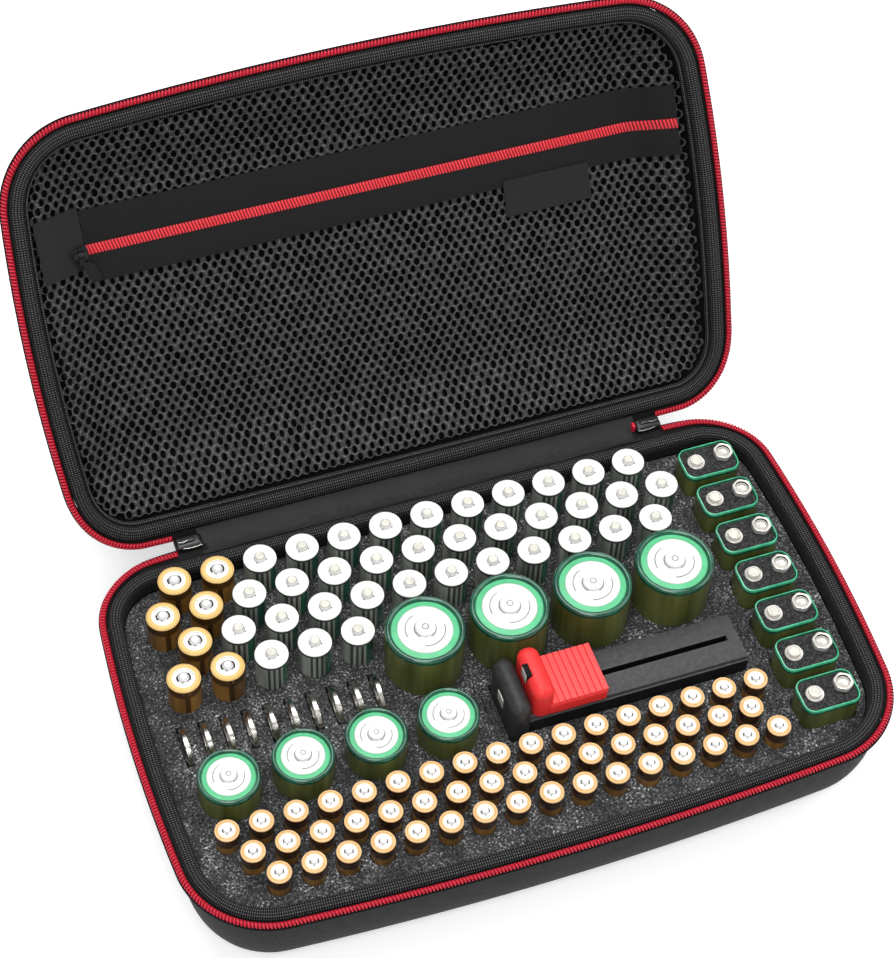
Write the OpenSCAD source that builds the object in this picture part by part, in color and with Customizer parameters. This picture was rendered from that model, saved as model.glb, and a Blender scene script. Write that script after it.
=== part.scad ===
// Zip-around battery organizer case, shown with its lid open and every cell in its pocket.
// Origin: centre of the underside. +X to the right, +Y towards the hinge, +Z up. Millimetres.

/* [Case] */
// Height of the base, underside to parting plane
base_h = 46.1; // [45:0.1:56]
// Height of the lid, parting plane to its top
lid_h = 33; // [31:0.5:45]
// How far each short side bows out
side_bow = 5.6; // [3:0.1:8]
// How far the front bows out
front_bow = 7.2; // [4:0.1:9]
// Corner radius at the front
corner_front = 39; // [34:0.5:44]
// Corner radius at the hinge side
corner_back = 29.7; // [29:0.1:36]
// Thickness of the moulded shell
wall = 2.5; // [1.5:0.1:3]
// Inward rounding of the underside edge at the front and sides
belly = 13; // [9:0.5:13]
// Inward rounding of the underside edge at the hinge side
belly_back = 10; // [6:0.5:12]
// Inner face of the rim flange, inward from the zip line
flange_in = 8.8; // [8:0.1:9]

/* [Hinge] */
// Distance of the hinge axis behind the zip line
hinge_out = 8; // [7:0.5:10]
// Height of the hinge axis below the parting plane
hinge_drop = 0.5; // [0:0.1:1]
// Angle of the lid from closed, as shown
open_angle = 121.7; // [90:0.1:170]
// How far the lid's rim reaches past the base's at the hinge
lid_back = 5; // [3:0.5:6]
// Thickness of the fabric hinge strip
strip_t = 1; // [0.6:0.1:1.4]

/* [Zip] */
// Width of the zip coil
coil_w = 2.6; // [2:0.1:3]
// Height of the zip coil
coil_h = 2.2; // [1.8:0.1:2.4]
// Thickness of the zip tape
tape_t = 0.8; // [0.5:0.1:1]
// Width of the ribbed rim binding
binding_w = 6; // [5:0.1:6.2]
// How far the zip runs on past each corner at the hinge
zip_past = 11.5; // [9:0.1:14]
// Length of a zip slider
slider_l = 12; // [10:0.5:14]
// Width of a zip slider
slider_w = 7; // [6.6:0.1:7.2]
// Height of a zip slider without its bridge
slider_h = 4.4; // [4:0.1:4.4]
// Length of a pull tab on the case
pull_l = 27; // [20:0.5:30]

/* [Foam and cells] */
// Height of the foam insert's top face
foam_top = 36.6; // [30:0.1:38]
// Thickness of the pad under the foam insert
pad_t = 1.3; // [1:0.1:1.4]
// Foam from the zip line to the medium cells at the left
room_left = 19.8; // [18:0.1:24]
// Foam from the block cells to the zip line at the right
room_right = 19.3; // [19:0.1:24]
// Foam from the zip line at the hinge to the pencil cells
room_back = 11.05; // [11:0.05:14]
// Foam from the small pencil cells to the zip line at the front
room_front = 21.39; // [20:0.01:26]
// Foam between the groups of cells, side to side
web_x = 11.4; // [8:0.1:14]
// Foam between the groups of cells, front to back
web_y = 6; // [4:0.1:8]
// Radial room round a cell in its pocket
cell_room = 0.2; // [0.1:0.05:0.3]
// Diameter of a small pencil cell
aaa_d = 10.5; // [10:0.1:10.5]
// Length of a small pencil cell
aaa_l = 44.5; // [43:0.1:45]
// Diameter of a pencil cell
aa_d = 14.2; // [13.5:0.1:14.5]
// Length of a pencil cell
aa_l = 50.5; // [49:0.1:51]
// Diameter of a medium cell
c_d = 26.2; // [25:0.1:26.4]
// Length of a medium cell
c_l = 50; // [48:0.1:50.5]
// Diameter of a large cell
d_d = 34.2; // [32:0.1:34.4]
// Length of a large cell
d_l = 61.5; // [59:0.1:61.6]
// Width of a block cell
block_w = 26.5; // [25:0.1:26.6]
// Depth of a block cell
block_d = 17.5; // [16.5:0.1:17.6]
// Length of a block cell
block_l = 47.8; // [46:0.1:49]
// Diameter of a button cell
button_d = 20; // [18:0.1:20]
// Thickness of a button cell
button_t = 3.2; // [2.4:0.1:3.4]

/* [Tester] */
// Length of the tester's bar
tester_l = 114; // [108:1:114]
// Width of the tester's bar
tester_w = 24.8; // [23:0.1:25]
// How far the bar stands above the foam
tester_up = 9.9; // [8:0.1:11]
// Width of the fixed head and of the slider
head_w = 30; // [27:0.5:30.5]
// Height of the fixed head above the bar
head_up = 12.5; // [10:0.1:13]
// Travel of the slider
tester_travel = 58; // [50:1:60]

/* [Lid pocket] */
// Depth of the mesh panel behind the parting plane
mesh_depth = 21.6; // [21.4:0.1:24]
// Thickness of the mesh
mesh_t = 1.1; // [0.8:0.1:1.4]
// Place of the pocket zip, forward of the centre
pocket_y = -30; // [-40:1:-24]
// Width of the fabric band in front of the pocket zip
band_front = 15.4; // [12:0.1:17]
// Width of the fabric band behind the pocket zip
band_rear = 12.8; // [10:0.1:14]
// Thickness of a fabric band
band_t = 0.7; // [0.5:0.1:0.9]
// Width of the pocket zip coil
pocket_coil_w = 4.4; // [3.6:0.1:5]
// Length of the blank label tab
label_l = 41; // [34:0.5:46]
// Width of the blank label tab
label_w = 17; // [14:0.5:20]

/* [Hidden] */
$fn = 48;

// Running gap between neighbouring soft or moulded pieces
gap = 0.25;

// The case is as large as its contents need. Across, it holds the medium cells, the tester and the
// block cells; in depth, the pencil cells, a large cell, the tester and the small pencil cells.
aa_pitch = aa_d + 5.32;
aa_row = aa_d + 2.4;
aaa_pitch = aaa_d + 4.37;
aaa_row = aaa_d + 1.98;
d_pitch = d_d + 4.53;
c_pitch = c_d + 6.1;
block_pitch = block_d + 4.46;
button_pitch = button_t + 6.37;
head_out = 1.5;
web_c = 6.8;
case_w = room_left + 3 * c_pitch + c_d + web_c + head_out + tester_l + web_x + block_w + room_right;
case_d = room_back + 2 * aa_row + aa_d + d_d + tester_w + 2 * aaa_row + aaa_d + 3 * web_y + room_front;

// Plan outline of the zip line: four bowed sides and four corner arcs, all tangent.
back_bow = 0.8;
half_w = case_w / 2;
front_y = -case_d / 2;
back_y = case_d / 2;
function bow_radius(half, sag) = (half * half + sag * sag) / (2 * sag);
side_r = bow_radius((case_d - front_bow) / 2, side_bow);
front_r = bow_radius(half_w - side_bow, front_bow);
back_r = bow_radius(half_w - side_bow, back_bow);
side_mid_y = front_bow / 2;
right_c = [half_w - side_r, side_mid_y];
left_c = [side_r - half_w, side_mid_y];
front_c = [0, front_y + front_r];
back_c = [0, back_y - back_r];

// Centre of a corner arc of radius r that is tangent inside two side arcs
function corner_centre(c1, r1, c2, r2, r, sx, sy) =
    let(
        d = c2 - c1,
        reach = norm(d),
        along = (reach * reach + (r1 - r) * (r1 - r) - (r2 - r) * (r2 - r)) / (2 * reach),
        across = sqrt((r1 - r) * (r1 - r) - along * along),
        e = d / reach,
        n = [-e[1], e[0]],
        p = c1 + e * along + n * across,
        q = c1 + e * along - n * across
    )
    p * [sx, sy] > q * [sx, sy] ? p : q;
fr_c = corner_centre(right_c, side_r, front_c, front_r, corner_front, 1, -1);
fl_c = [-fr_c[0], fr_c[1]];
br_c = corner_centre(right_c, side_r, back_c, back_r, corner_back, 1, 1);
bl_c = [-br_c[0], br_c[1]];
function heading(from, to) = atan2(to[1] - from[1], to[0] - from[0]);

// Points on an arc, each with its outward normal
function arc(c, r, a0, a1, n, close = 0) =
    [for (i = [0 : n - 1 + close]) let(t = a0 + (a1 - a0) * i / n)
        [c[0] + r * cos(t), c[1] + r * sin(t), cos(t), sin(t)]];
side_n = 4;
end_n = 6;
corner_n = 7;
a_fr = heading(right_c, fr_c);
a_br = heading(right_c, br_c);
b_br = heading(back_c, br_c);
f_fr = heading(front_c, fr_c);
RIGHT = arc(right_c, side_r, a_fr, a_br, side_n);
CORNER_BR = arc(br_c, corner_back, a_br, b_br, corner_n);
BACK = arc(back_c, back_r, b_br, 180 - b_br, end_n);
CORNER_BL = arc(bl_c, corner_back, 180 - b_br, 180 - a_br, corner_n);
LEFT = arc(left_c, side_r, 180 - a_br, 180 - a_fr, side_n);
CORNER_FL = arc(fl_c, corner_front, 180 - a_fr, 180 - f_fr, corner_n);
FRONT = arc(front_c, front_r, -180 - f_fr, f_fr, end_n);
CORNER_FR = arc(fr_c, corner_front, f_fr, a_fr, corner_n);
OUTLINE = concat(RIGHT, CORNER_BR, BACK, CORNER_BL, LEFT, CORNER_FL, FRONT, CORNER_FR);

// The zip runs along the outline but stops short of the hinge strip.
zip_end = br_c[0] - zip_past;
function back_point(x) = let(y = back_c[1] + sqrt(back_r * back_r - x * x)) [x, y, x / back_r, 1];
zip_lead = 9;
ZIP_PATH = concat(
    [back_point(-zip_end), back_point(-zip_end - zip_lead)],
    CORNER_BL, LEFT, CORNER_FL, FRONT, CORNER_FR, RIGHT, CORNER_BR,
    [back_point(zip_end + zip_lead), back_point(zip_end)]
);
// The tape runs on past the ends of the coil to the hinge strip.
strip_room = 1.5;
slider_in = 0.4;
strip_half = zip_end - slider_in - slider_l - strip_room;
tape_end = strip_half + gap;
TAPE_PATH = concat([back_point(-tape_end)], ZIP_PATH, [back_point(tape_end)]);
function ease(t) = let(u = max(0, min(1, t))) u * u * (3 - 2 * u);
// 1 at the ends of the zip beside the hinge, falling to 0 along the corners
zip_turn = 34;
zip_stray = 1.5;
lid_stray = 7.85 - lid_back;
tape_out = 1;
function near_hinge(p) = p[1] > 0 ? ease(1 - (abs(p[0]) - zip_end) / zip_turn) : 0;
function hingeward(p) = let(n = max(0, p[3])) n * n;
function moved(p, off) = [p[0] + off * p[2], p[1] + off * p[3]];
function offset_plan(off, add = 0) = [for (p = OUTLINE) moved(p, off + add * hingeward(p))];
// The lid's own plan, which reaches further towards the hinge
function lid_point(p) = [each moved(p, lid_back * hingeward(p)), p[2], p[3]];
LID_OUTLINE = [for (p = OUTLINE) lid_point(p)];
LID_ZIP_PATH = [for (p = ZIP_PATH) lid_point(p)];
LID_TAPE_PATH = [for (p = TAPE_PATH) lid_point(p)];

// Skin between rings of equal length, with the first and last ring capped
module loft(rings) {
    n = len(rings[0]);
    last = len(rings) - 1;
    points = [for (r = rings) for (p = r) p];
    sides = [for (k = [0 : last - 1]) for (i = [0 : n - 1]) let(j = (i + 1) % n)
        each [[k * n + i, (k + 1) * n + i, (k + 1) * n + j], [k * n + i, (k + 1) * n + j, k * n + j]]];
    caps = [[for (i = [0 : n - 1]) i], [for (i = [n - 1 : -1 : 0]) last * n + i]];
    polyhedron(points, concat(sides, caps), convexity = 6);
}
// A section of [offset, height] points carried round the closed outline
module ring(section, plan) {
    n = len(plan);
    m = len(section);
    points = [for (p = plan) for (s = section) [each moved(p, s[0]), s[1]]];
    faces = [for (i = [0 : n - 1]) for (j = [0 : m - 1])
        let(a = i * m, b = ((i + 1) % n) * m, k = (j + 1) % m)
        each [[a + j, a + k, b + k], [a + j, b + k, b + j]]];
    polyhedron(points, faces, convexity = 8);
}
// A section carried along a path; out says how far its ends stray
module run(section, path, out) {
    loft([for (p = path) let(e = out * near_hinge(p))
        [for (s = reverse(section)) [each moved(p, s[0] + (s[1] < flange_z ? e : 0)), s[1]]]]);
}
function level(plan, off, z) = [for (p = plan) [each moved(p, off), z]];

// Sections of one half of the case, height measured down from the parting plane
side_in = 2;
flange_z = 3.2;
flange_deep = 9;
belly_n = 6;
belly_start = 16;
lid_belly_start = 12;
function belly_at(p, inset) = belly - (belly - belly_back) * hingeward(p) - inset;
// Ring of the rounded edge, from the wall at t = 0 to the flat at t = 90
function belly_ring(plan, t, inset, drop, depth) =
    [for (p = plan) let(b = belly_at(p, inset), off = -side_in - inset - b + b * cos(t))
        [each moved(p, off), drop + (depth - inset - drop) * sin(t)]];
// Rings from the flange out, round the edge and onto the flat; heights count from the rim
function half_outer(plan, depth, drop) = concat(
    [level(plan, -side_in, flange_z)],
    [for (k = [0 : belly_n]) belly_ring(plan, 90 * k / belly_n, 0, drop, depth)]
);
function half_inner(plan, depth, drop) = concat(
    [level(plan, -flange_in, flange_z), level(plan, -flange_in, flange_deep)],
    [level(plan, -side_in - wall, flange_deep + 3)],
    [for (k = [0 : belly_n]) belly_ring(plan, 90 * k / belly_n, wall, drop, depth)]
);
function reverse(v) = [for (i = [len(v) - 1 : -1 : 0]) v[i]];
module half_shell(plan, depth, drop) {
    loft(concat(reverse(half_inner(plan, depth, drop)), half_outer(plan, depth, drop)));
}

// The same sections serve both halves: the base hangs below the parting plane.
module base_half() {
    translate([0, 0, base_h]) mirror([0, 0, 1]) children();
}
module lid_half() {
    translate([0, back_y + hinge_out, base_h - hinge_drop]) rotate([-open_angle, 0, 0])
        translate([0, -back_y - hinge_out, hinge_drop]) children();
}

binding_out = 2.4;
binding_in = binding_out + binding_w;
BINDING = [
    [-binding_in, flange_z - gap], [-binding_in, 1.5], [-binding_in + 1, 0.6],
    [-(binding_out + binding_in) / 2, 0.3], [-binding_out - 1, 0.6], [-binding_out, 1.5],
    [-binding_out, flange_z - gap]
];
coil_z = 0.2 + coil_h / 2;
COIL = [for (k = [0 : 5]) [coil_w / 2 * cos(60 * k), coil_z + coil_h / 2 * sin(60 * k)]];
tape_in = 0.3;
tape_z = coil_z + coil_h / 2 + 0.1;
TAPE = [[-tape_in - tape_t, tape_z], [-tape_in, tape_z], [-tape_in, flange_z + 0.4],
    [-side_in + gap + tape_t, 11], [-side_in + gap, 11], [-side_in + gap, flange_z + 0.6]];

module base_shell() {
    color("dimgray") base_half() half_shell(OUTLINE, base_h, belly_start);
}
module base_binding() {
    color("darkslategray") base_half() ring(BINDING, OUTLINE);
}
module base_zip_tape() {
    color("black") base_half() run(TAPE, TAPE_PATH, zip_stray + tape_out);
}
module base_zip_coil() {
    color("crimson") base_half() run(COIL, ZIP_PATH, zip_stray);
}

// Foam insert: a straight-sided block with a waist where the shell rounds inwards
pad_z = wall + 0.2;
floor_z = pad_z + pad_t;
waist_z = 9.2;
foam_edge = flange_in + 0.3;
// How far the wall stands out from the flat of the underside at height z, as a share of the
// rounding, measured on the facets of the shell's inner face
INNER_EDGE = [for (k = [belly_n : -1 : 0]) let(t = 90 * k / belly_n)
    [base_h - belly_start - (base_h - wall - belly_start) * sin(t), cos(t)]];
// Plan that just clears the inside of the base shell at height z
module shell_plan(z) {
    out = lookup(z, INNER_EDGE);
    polygon([for (p = OUTLINE) moved(p, -side_in - wall - belly_at(p, wall) * (1 - out) - 0.3)]);
}
module foam_pad() {
    color("dimgray") translate([0, 0, pad_z]) linear_extrude(pad_t) shell_plan(pad_z);
}

// Cell positions. Each group is measured from the side that it stands beside.
block_x = half_w - room_right - block_w / 2;
block_y = 4.6 + 3 * block_pitch;
block_left = block_x - block_w / 2;
aa_y = back_y - room_back - aa_d / 2;
d_x = block_left - web_x - d_d / 2 - 3 * d_pitch;
d_y = aa_y - 2 * aa_row - aa_d / 2 - web_y - d_d / 2;
tester_y = d_y - d_d / 2 - web_y - tester_w / 2;
tester_x0 = block_left - web_x - tester_l;
c_x = c_d / 2 + room_left - half_w;
c_y = tester_y - 1.8;
aaa_y = tester_y - tester_w / 2 - web_y - aaa_d / 2;
button_x = 21.3 - half_w;
button_y = 5.3;
button_z = foam_top - 5;
block_corner = 4.2;
// As many cells stand in a row as end short of what is to the right of it.
function fits(first, r, end, pitch) = 1 + floor((end - r - first) / pitch);
aa_x = 18.15 - half_w;
aa_starts = [1, 0.5, 1, 0.5];
aa_ends = [block_left - 4, block_left - 4, block_left - 4, d_x - d_d / 2 - 1];
aa_golds = [2, 2, 1, 2];
function aa_first(row) = aa_x + aa_pitch * aa_starts[row];
function aa_count(row) = fits(aa_first(row), aa_d / 2, aa_ends[row], aa_pitch);
function aa_at(row, k) = [aa_first(row) + aa_pitch * k, aa_y - aa_row * row];
aaa_x = 10.7 - half_w;
aaa_starts = [1, 1.5, 2];
function aaa_first(row) = aaa_x + aaa_pitch * aaa_starts[row];
function aaa_count(row) = fits(aaa_first(row), aaa_d / 2, block_left - 4, aaa_pitch);
function aaa_at(row, k) = [aaa_first(row) + aaa_pitch * k, aaa_y - aaa_row * row];
function d_at(k) = [d_x + d_pitch * k, d_y];
function c_at(k) = [c_x + c_pitch * k, c_y];
function block_at(k) = [block_x, block_y - block_pitch * k];
button_n = fits(button_x, button_t / 2, d_x - d_d / 2 - 5, button_pitch);

tester_top = foam_top + tester_up;
head_l = 12.5;
head_x1 = tester_x0 + head_l;
head_x0 = tester_x0 - head_out;

module pocket(at, r) {
    translate([at[0], at[1], floor_z - 1]) cylinder(r = r + cell_room, h = foam_top);
}
module rounded_block(w, d, h, r) {
    linear_extrude(h) rounded_plate(w, d, r);
}
// Centred rectangle with true corner arcs
module rounded_plate(w, d, r) {
    square([w - 2 * r, d], center = true);
    square([w, d - 2 * r], center = true);
    for (x = [-1, 1]) for (y = [-1, 1]) translate([x * (w / 2 - r), y * (d / 2 - r)]) circle(r);
}
module foam_insert() {
    color("gray") difference() {
        union() {
            translate([0, 0, floor_z]) linear_extrude(waist_z - floor_z) shell_plan(floor_z);
            translate([0, 0, waist_z]) linear_extrude(foam_top - waist_z)
                polygon(offset_plan(-foam_edge));
        }
        for (r = [0 : 3]) for (k = [0 : aa_count(r) - 1]) pocket(aa_at(r, k), aa_d / 2);
        for (r = [0 : 2]) for (k = [0 : aaa_count(r) - 1]) pocket(aaa_at(r, k), aaa_d / 2);
        for (k = [0 : 3]) pocket(d_at(k), d_d / 2);
        for (k = [0 : 3]) pocket(c_at(k), c_d / 2);
        for (k = [0 : 6]) translate([block_at(k)[0], block_at(k)[1], floor_z - 1])
            rounded_block(block_w + 2 * cell_room, block_d + 2 * cell_room, foam_top, block_corner);
        for (k = [0 : button_n - 1])
            translate([button_x + button_pitch * k, button_y, button_z]) button_slot();
        translate([tester_x0 + tester_l / 2, tester_y, floor_z - 1])
            cube_on(tester_l + 2 * cell_room, tester_w + 2 * cell_room, foam_top);
        translate([(head_x0 + head_x1) / 2, tester_y, floor_z - 1])
            cube_on(head_x1 - head_x0 + 2 * cell_room, head_w + 2 * cell_room, foam_top);
    }
}
module cube_on(w, d, h) {
    translate([-w / 2, -d / 2, 0]) cube([w, d, h]);
}
// Slot with a round floor that a button cell stands in
module button_slot() {
    slot = button_t + 2 * cell_room;
    r = button_d / 2 + cell_room;
    rotate([0, 90, 0]) cylinder(r = r, h = slot, center = true);
    translate([-slot / 2, -r, 0]) cube([slot, 2 * r, foam_top]);
}

// Cells
module aaa_cell(at) {
    translate([at[0], at[1], floor_z]) rotate_extrude()
        polygon([[0, 0], [aaa_d / 2 - 0.6, 0], [aaa_d / 2, 0.6], [aaa_d / 2, aaa_l - 2],
            [aaa_d / 2 - 0.9, aaa_l - 1.1], [3.1, aaa_l - 1.1], [3.1, aaa_l - 1.4], [1.9, aaa_l - 1.4],
            [1.9, aaa_l - 0.2], [1.6, aaa_l], [0, aaa_l]]);
}
module aa_cell(at) {
    translate([at[0], at[1], floor_z]) rotate_extrude()
        polygon([[0, 0], [aa_d / 2 - 0.8, 0], [aa_d / 2, 0.8], [aa_d / 2, aa_l - 2.2],
            [aa_d / 2 - 1.1, aa_l - 1.2], [4.2, aa_l - 1.2], [4.2, aa_l - 1.5], [2.75, aa_l - 1.5],
            [2.75, aa_l - 0.3], [2.4, aa_l], [0, aa_l]]);
}
// Round cell with a rolled shoulder, a recessed seal ring and a stepped cap
module round_cell(at, d, l) {
    r = d / 2;
    translate([at[0], at[1], floor_z]) rotate_extrude() {
        polygon([[0, 0], [r - 1, 0], [r, 1], [r, l - 4.5], [r - 2, l - 2.2], [r - 3.1, l - 2.2],
            [r - 3.6, l - 3], [r * 0.72, l - 3], [r * 0.68, l - 2.2], [r * 0.42, l - 2],
            [r * 0.38, l - 1.5], [4.4, l - 1.3], [4, l - 0.3], [3.4, l], [0, l]]);
        translate([r - 2, l - 3.8]) circle(1.8);
    }
}
module d_cell(k) {
    color("darkgreen") round_cell(d_at(k), d_d, d_l);
}
module c_cell(k) {
    color("darkgreen") round_cell(c_at(k), c_d, c_l);
}
terminal_gap = 12.7;
terminal_h = 2.6;
frame_w = 1.1;
frame_h = 0.9;
// Body with a raised frame round its top plate, a stud and a hexagonal socket
module block_cell(k) {
    body = block_l - terminal_h;
    color("olive") translate([block_at(k)[0], block_at(k)[1], floor_z]) {
        difference() {
            rounded_block(block_w, block_d, body + frame_h, block_corner);
            translate([0, 0, body])
                rounded_block(block_w - 2 * frame_w, block_d - 2 * frame_w, 2, block_corner - frame_w);
        }
        translate([-terminal_gap / 2, 0, body]) {
            cylinder(r = 4.1, h = 0.6);
            cylinder(r = 2.5, h = terminal_h);
            translate([0, 0, terminal_h - 1]) cylinder(r = 2.9, h = 0.8);
        }
        translate([terminal_gap / 2, 0, body]) difference() {
            union() {
                cylinder(r = 4.2, h = 0.6);
                cylinder(r = 4.4, h = terminal_h, $fn = 6);
            }
            translate([0, 0, 0.6]) cylinder(r = 2.9, h = terminal_h);
        }
    }
}
module button_cell(k) {
    translate([button_x + button_pitch * k, button_y, button_z]) rotate([0, 90, 0])
        translate([0, 0, -button_t / 2]) rotate_extrude()
            polygon([[0, 0], [button_d / 2 - 1.6, 0], [button_d / 2 - 1.3, 0.5],
                [button_d / 2 - 0.5, 0.6], [button_d / 2, 1.1], [button_d / 2, button_t - 0.5],
                [button_d / 2 - 0.5, button_t], [0, button_t]]);
}

// Battery tester standing on edge in its pocket
slot_w = 2.6;
slot_deep = 6;
slot_end = 5;
slot_x1 = tester_x0 + tester_l - slot_end;
bevel = 1.6;
slider_gap = 0.3;
head_edge = 1.2;
finger_x0 = head_x1 + slider_gap;
finger_t = 9;
pad_l = 26;
pad_x1 = finger_x0 + finger_t + pad_l;
pad_up = 7.2;
finger_up = 14.5;
stem_w = slot_w - 2 * slider_gap;
head_top = tester_top + head_up;
// Cross-section of the bar with bevelled upper edges
module bar_section(w, h) {
    polygon([[-w / 2, 0], [w / 2, 0], [w / 2, h - bevel], [w / 2 - bevel, h], [bevel - w / 2, h],
        [-w / 2, h - bevel]]);
}
// Cross-section with large round shoulders, extruded along X
module round_section(w, h, r) {
    translate([-w / 2, 0]) square([w, h - r]);
    translate([-w / 2 + r, 0]) square([w - 2 * r, h]);
    for (s = [-1, 1]) translate([s * (w / 2 - r), h - r]) circle(r);
}
module along_x(x0, x1, z) {
    translate([x0, tester_y, z]) rotate([90, 0, 90]) linear_extrude(x1 - x0) children();
}
module tester_body() {
    color("black") difference() {
        union() {
            along_x(head_x1, tester_x0 + tester_l, floor_z) bar_section(tester_w, tester_top - floor_z);
            along_x(head_x0 + head_edge, head_x1, floor_z) round_section(head_w, head_top - floor_z, 8);
            along_x(head_x0, head_x1, floor_z)
                round_section(head_w - 2 * head_edge, head_top - floor_z - head_edge, 8 - head_edge);
        }
        translate([head_x1, tester_y - slot_w / 2, tester_top - slot_deep])
            cube([slot_x1 - head_x1, slot_w, slot_deep + 1]);
        translate([head_x0 - 1, tester_y - 4.2, tester_top - 4]) cube([1.5, 8.4, 9]);
        translate([head_x1 - 0.6, tester_y - 4.2, tester_top + 3]) cube([1, 8.4, head_up - 5]);
    }
}
module tester_contact() {
    color("silver") translate([head_x0 - 0.2, tester_y - 3.6, tester_top - 3.4]) cube([0.5, 7.2, 7.8]);
}
rib_n = 8;
rib_pitch = 2.15;
rib_cut = 0.6;
rib_x0 = finger_x0 + finger_t + 1.4;
finger_edge = 1.4;
module tester_slider() {
    z0 = tester_top + slider_gap;
    color("red") difference() {
        union() {
            along_x(finger_x0 + finger_edge, finger_x0 + finger_t - finger_edge, z0)
                round_section(head_w, finger_up, 5);
            along_x(finger_x0, finger_x0 + finger_t, z0)
                round_section(head_w - 2 * finger_edge, finger_up - finger_edge, 5 - finger_edge);
            along_x(finger_x0 + finger_t - 1, pad_x1 - 1, z0) round_section(head_w - 5, pad_up, 1.8);
            along_x(pad_x1 - 1, pad_x1, z0) round_section(head_w - 7, pad_up - 1, 1.2);
            translate([finger_x0, tester_y - stem_w / 2, tester_top - slot_deep + slider_gap])
                cube([pad_x1 - finger_x0, stem_w, slot_deep]);
        }
        for (k = [0 : rib_n - 1])
            translate([rib_x0 + k * rib_pitch, tester_y - head_w, z0 + pad_up - rib_cut])
                cube([rib_cut, 2 * head_w, 2]);
        translate([finger_x0 - 1, tester_y - 3.4, z0 + 4]) cube([1.5, 6.8, finger_up]);
    }
}
module tester_slider_contact() {
    color("silver") translate([finger_x0 + 0.1, tester_y - 3, tester_top + slider_gap + 4.4])
        cube([0.4, 6, finger_up - 7.3]);
}

// Fabric hinge strip, seen from its end; it joins the outer faces of the two rims.
strip_low = [back_y - side_in + 0.3, base_h - flange_z - 7];
function opened(y, h) =
    let(s = back_y + hinge_out - y, up = h + hinge_drop)
    [back_y + hinge_out - s * cos(open_angle) + up * sin(open_angle),
        base_h - hinge_drop + s * sin(open_angle) + up * cos(open_angle)];
strip_rim = opened(back_y + lid_back - side_in + 0.3, flange_z);
strip_high = opened(back_y + lid_back - side_in + 0.3, flange_z + 7);
strip_knee = [back_y - side_in + 0.3, base_h - flange_z];
strip_sag = 2.6;
STRIP = concat([strip_low], [for (k = [0 : 6]) let(t = k / 6)
    strip_knee * (1 - t) + strip_rim * t + [0, -strip_sag * 4 * t * (1 - t)]], [strip_high]);
function strip_normal(i) =
    let(a = STRIP[max(0, i - 1)], b = STRIP[min(len(STRIP) - 1, i + 1)], d = (b - a) / norm(b - a))
    [d[1], -d[0]];
module hinge_strip() {
    outer = [for (i = [0 : len(STRIP) - 1]) STRIP[i] + strip_t * strip_normal(i)];
    color("black") translate([-strip_half, 0, 0]) rotate([90, 0, 90]) linear_extrude(2 * strip_half)
        polygon(concat(STRIP, reverse(outer)));
}

// Zip sliders of the case, parked at the ends of the zip. Each lies between the ends of the two
// coils, so it leans with the line that joins them.
zip_low = [back_y + zip_stray, base_h - coil_z];
zip_high = opened(back_y + lid_back + lid_stray, coil_z);
slider_at = (zip_low + zip_high) / 2;
slider_lean = heading(zip_low, zip_high);
slider_x = zip_end - slider_in - slider_l / 2;
pin_r = 1;
grip = 3.2;
lug_t = 1.2;
ring_wall = 0.85;
slider_corner = 1.4;
function round_corner(x, y, r, a0) =
    [for (k = [0 : 4]) let(t = a0 + 90 * k / 4) [x + r * cos(t), y + r * sin(t)]];
// Body with a broad mouth at +X and a narrower tail, grooves for the two coils, and two lugs that
// hold a pin along X above the outer face
module slider_part(l, w, h, lug, pin, grip) {
    tail = 0.36 * w;
    r = min(slider_corner, tail - 0.3);
    groove = h * 0.42;
    difference() {
        linear_extrude(h) polygon(concat(
            round_corner(l / 2 - r, w / 2 - r, r, 0), round_corner(r - l / 2, tail - r, r, 90),
            round_corner(r - l / 2, r - tail, r, 180), round_corner(l / 2 - r, r - w / 2, r, 270)));
        translate([-l / 2 - 1, -tail * 0.45, (h - groove) / 2]) cube([l / 2 + 1, tail * 0.9, groove]);
        for (side = [-1, 1]) translate([0, 0, (h - groove) / 2]) rotate([0, 0, side * 17])
            translate([-1, -w * 0.13, 0]) cube([l, w * 0.26, groove]);
    }
    for (x = [-grip - lug_t, grip])
        translate([x, -pin - 0.6, h - 0.2]) cube([lug_t, 2 * pin + 1.2, lug + pin + 0.8]);
    translate([-grip - lug_t / 2, 0, h + lug]) rotate([0, 90, 0]) cylinder(r = pin, h = 2 * grip + lug_t);
}
pin_up = 2.7;
module zip_slider(side) {
    color("black") translate([side * slider_x, slider_at[0], slider_at[1]])
        rotate([180 + slider_lean, 0, 0]) mirror([side > 0 ? 0 : 1, 0, 0])
            translate([0, 0, -slider_h / 2])
                slider_part(slider_l, slider_w, slider_h, pin_up, pin_r, grip);
}
pin_out = slider_h / 2 + pin_up;
pin_at = slider_at + pin_out * [sin(slider_lean), -cos(slider_lean)];
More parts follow.
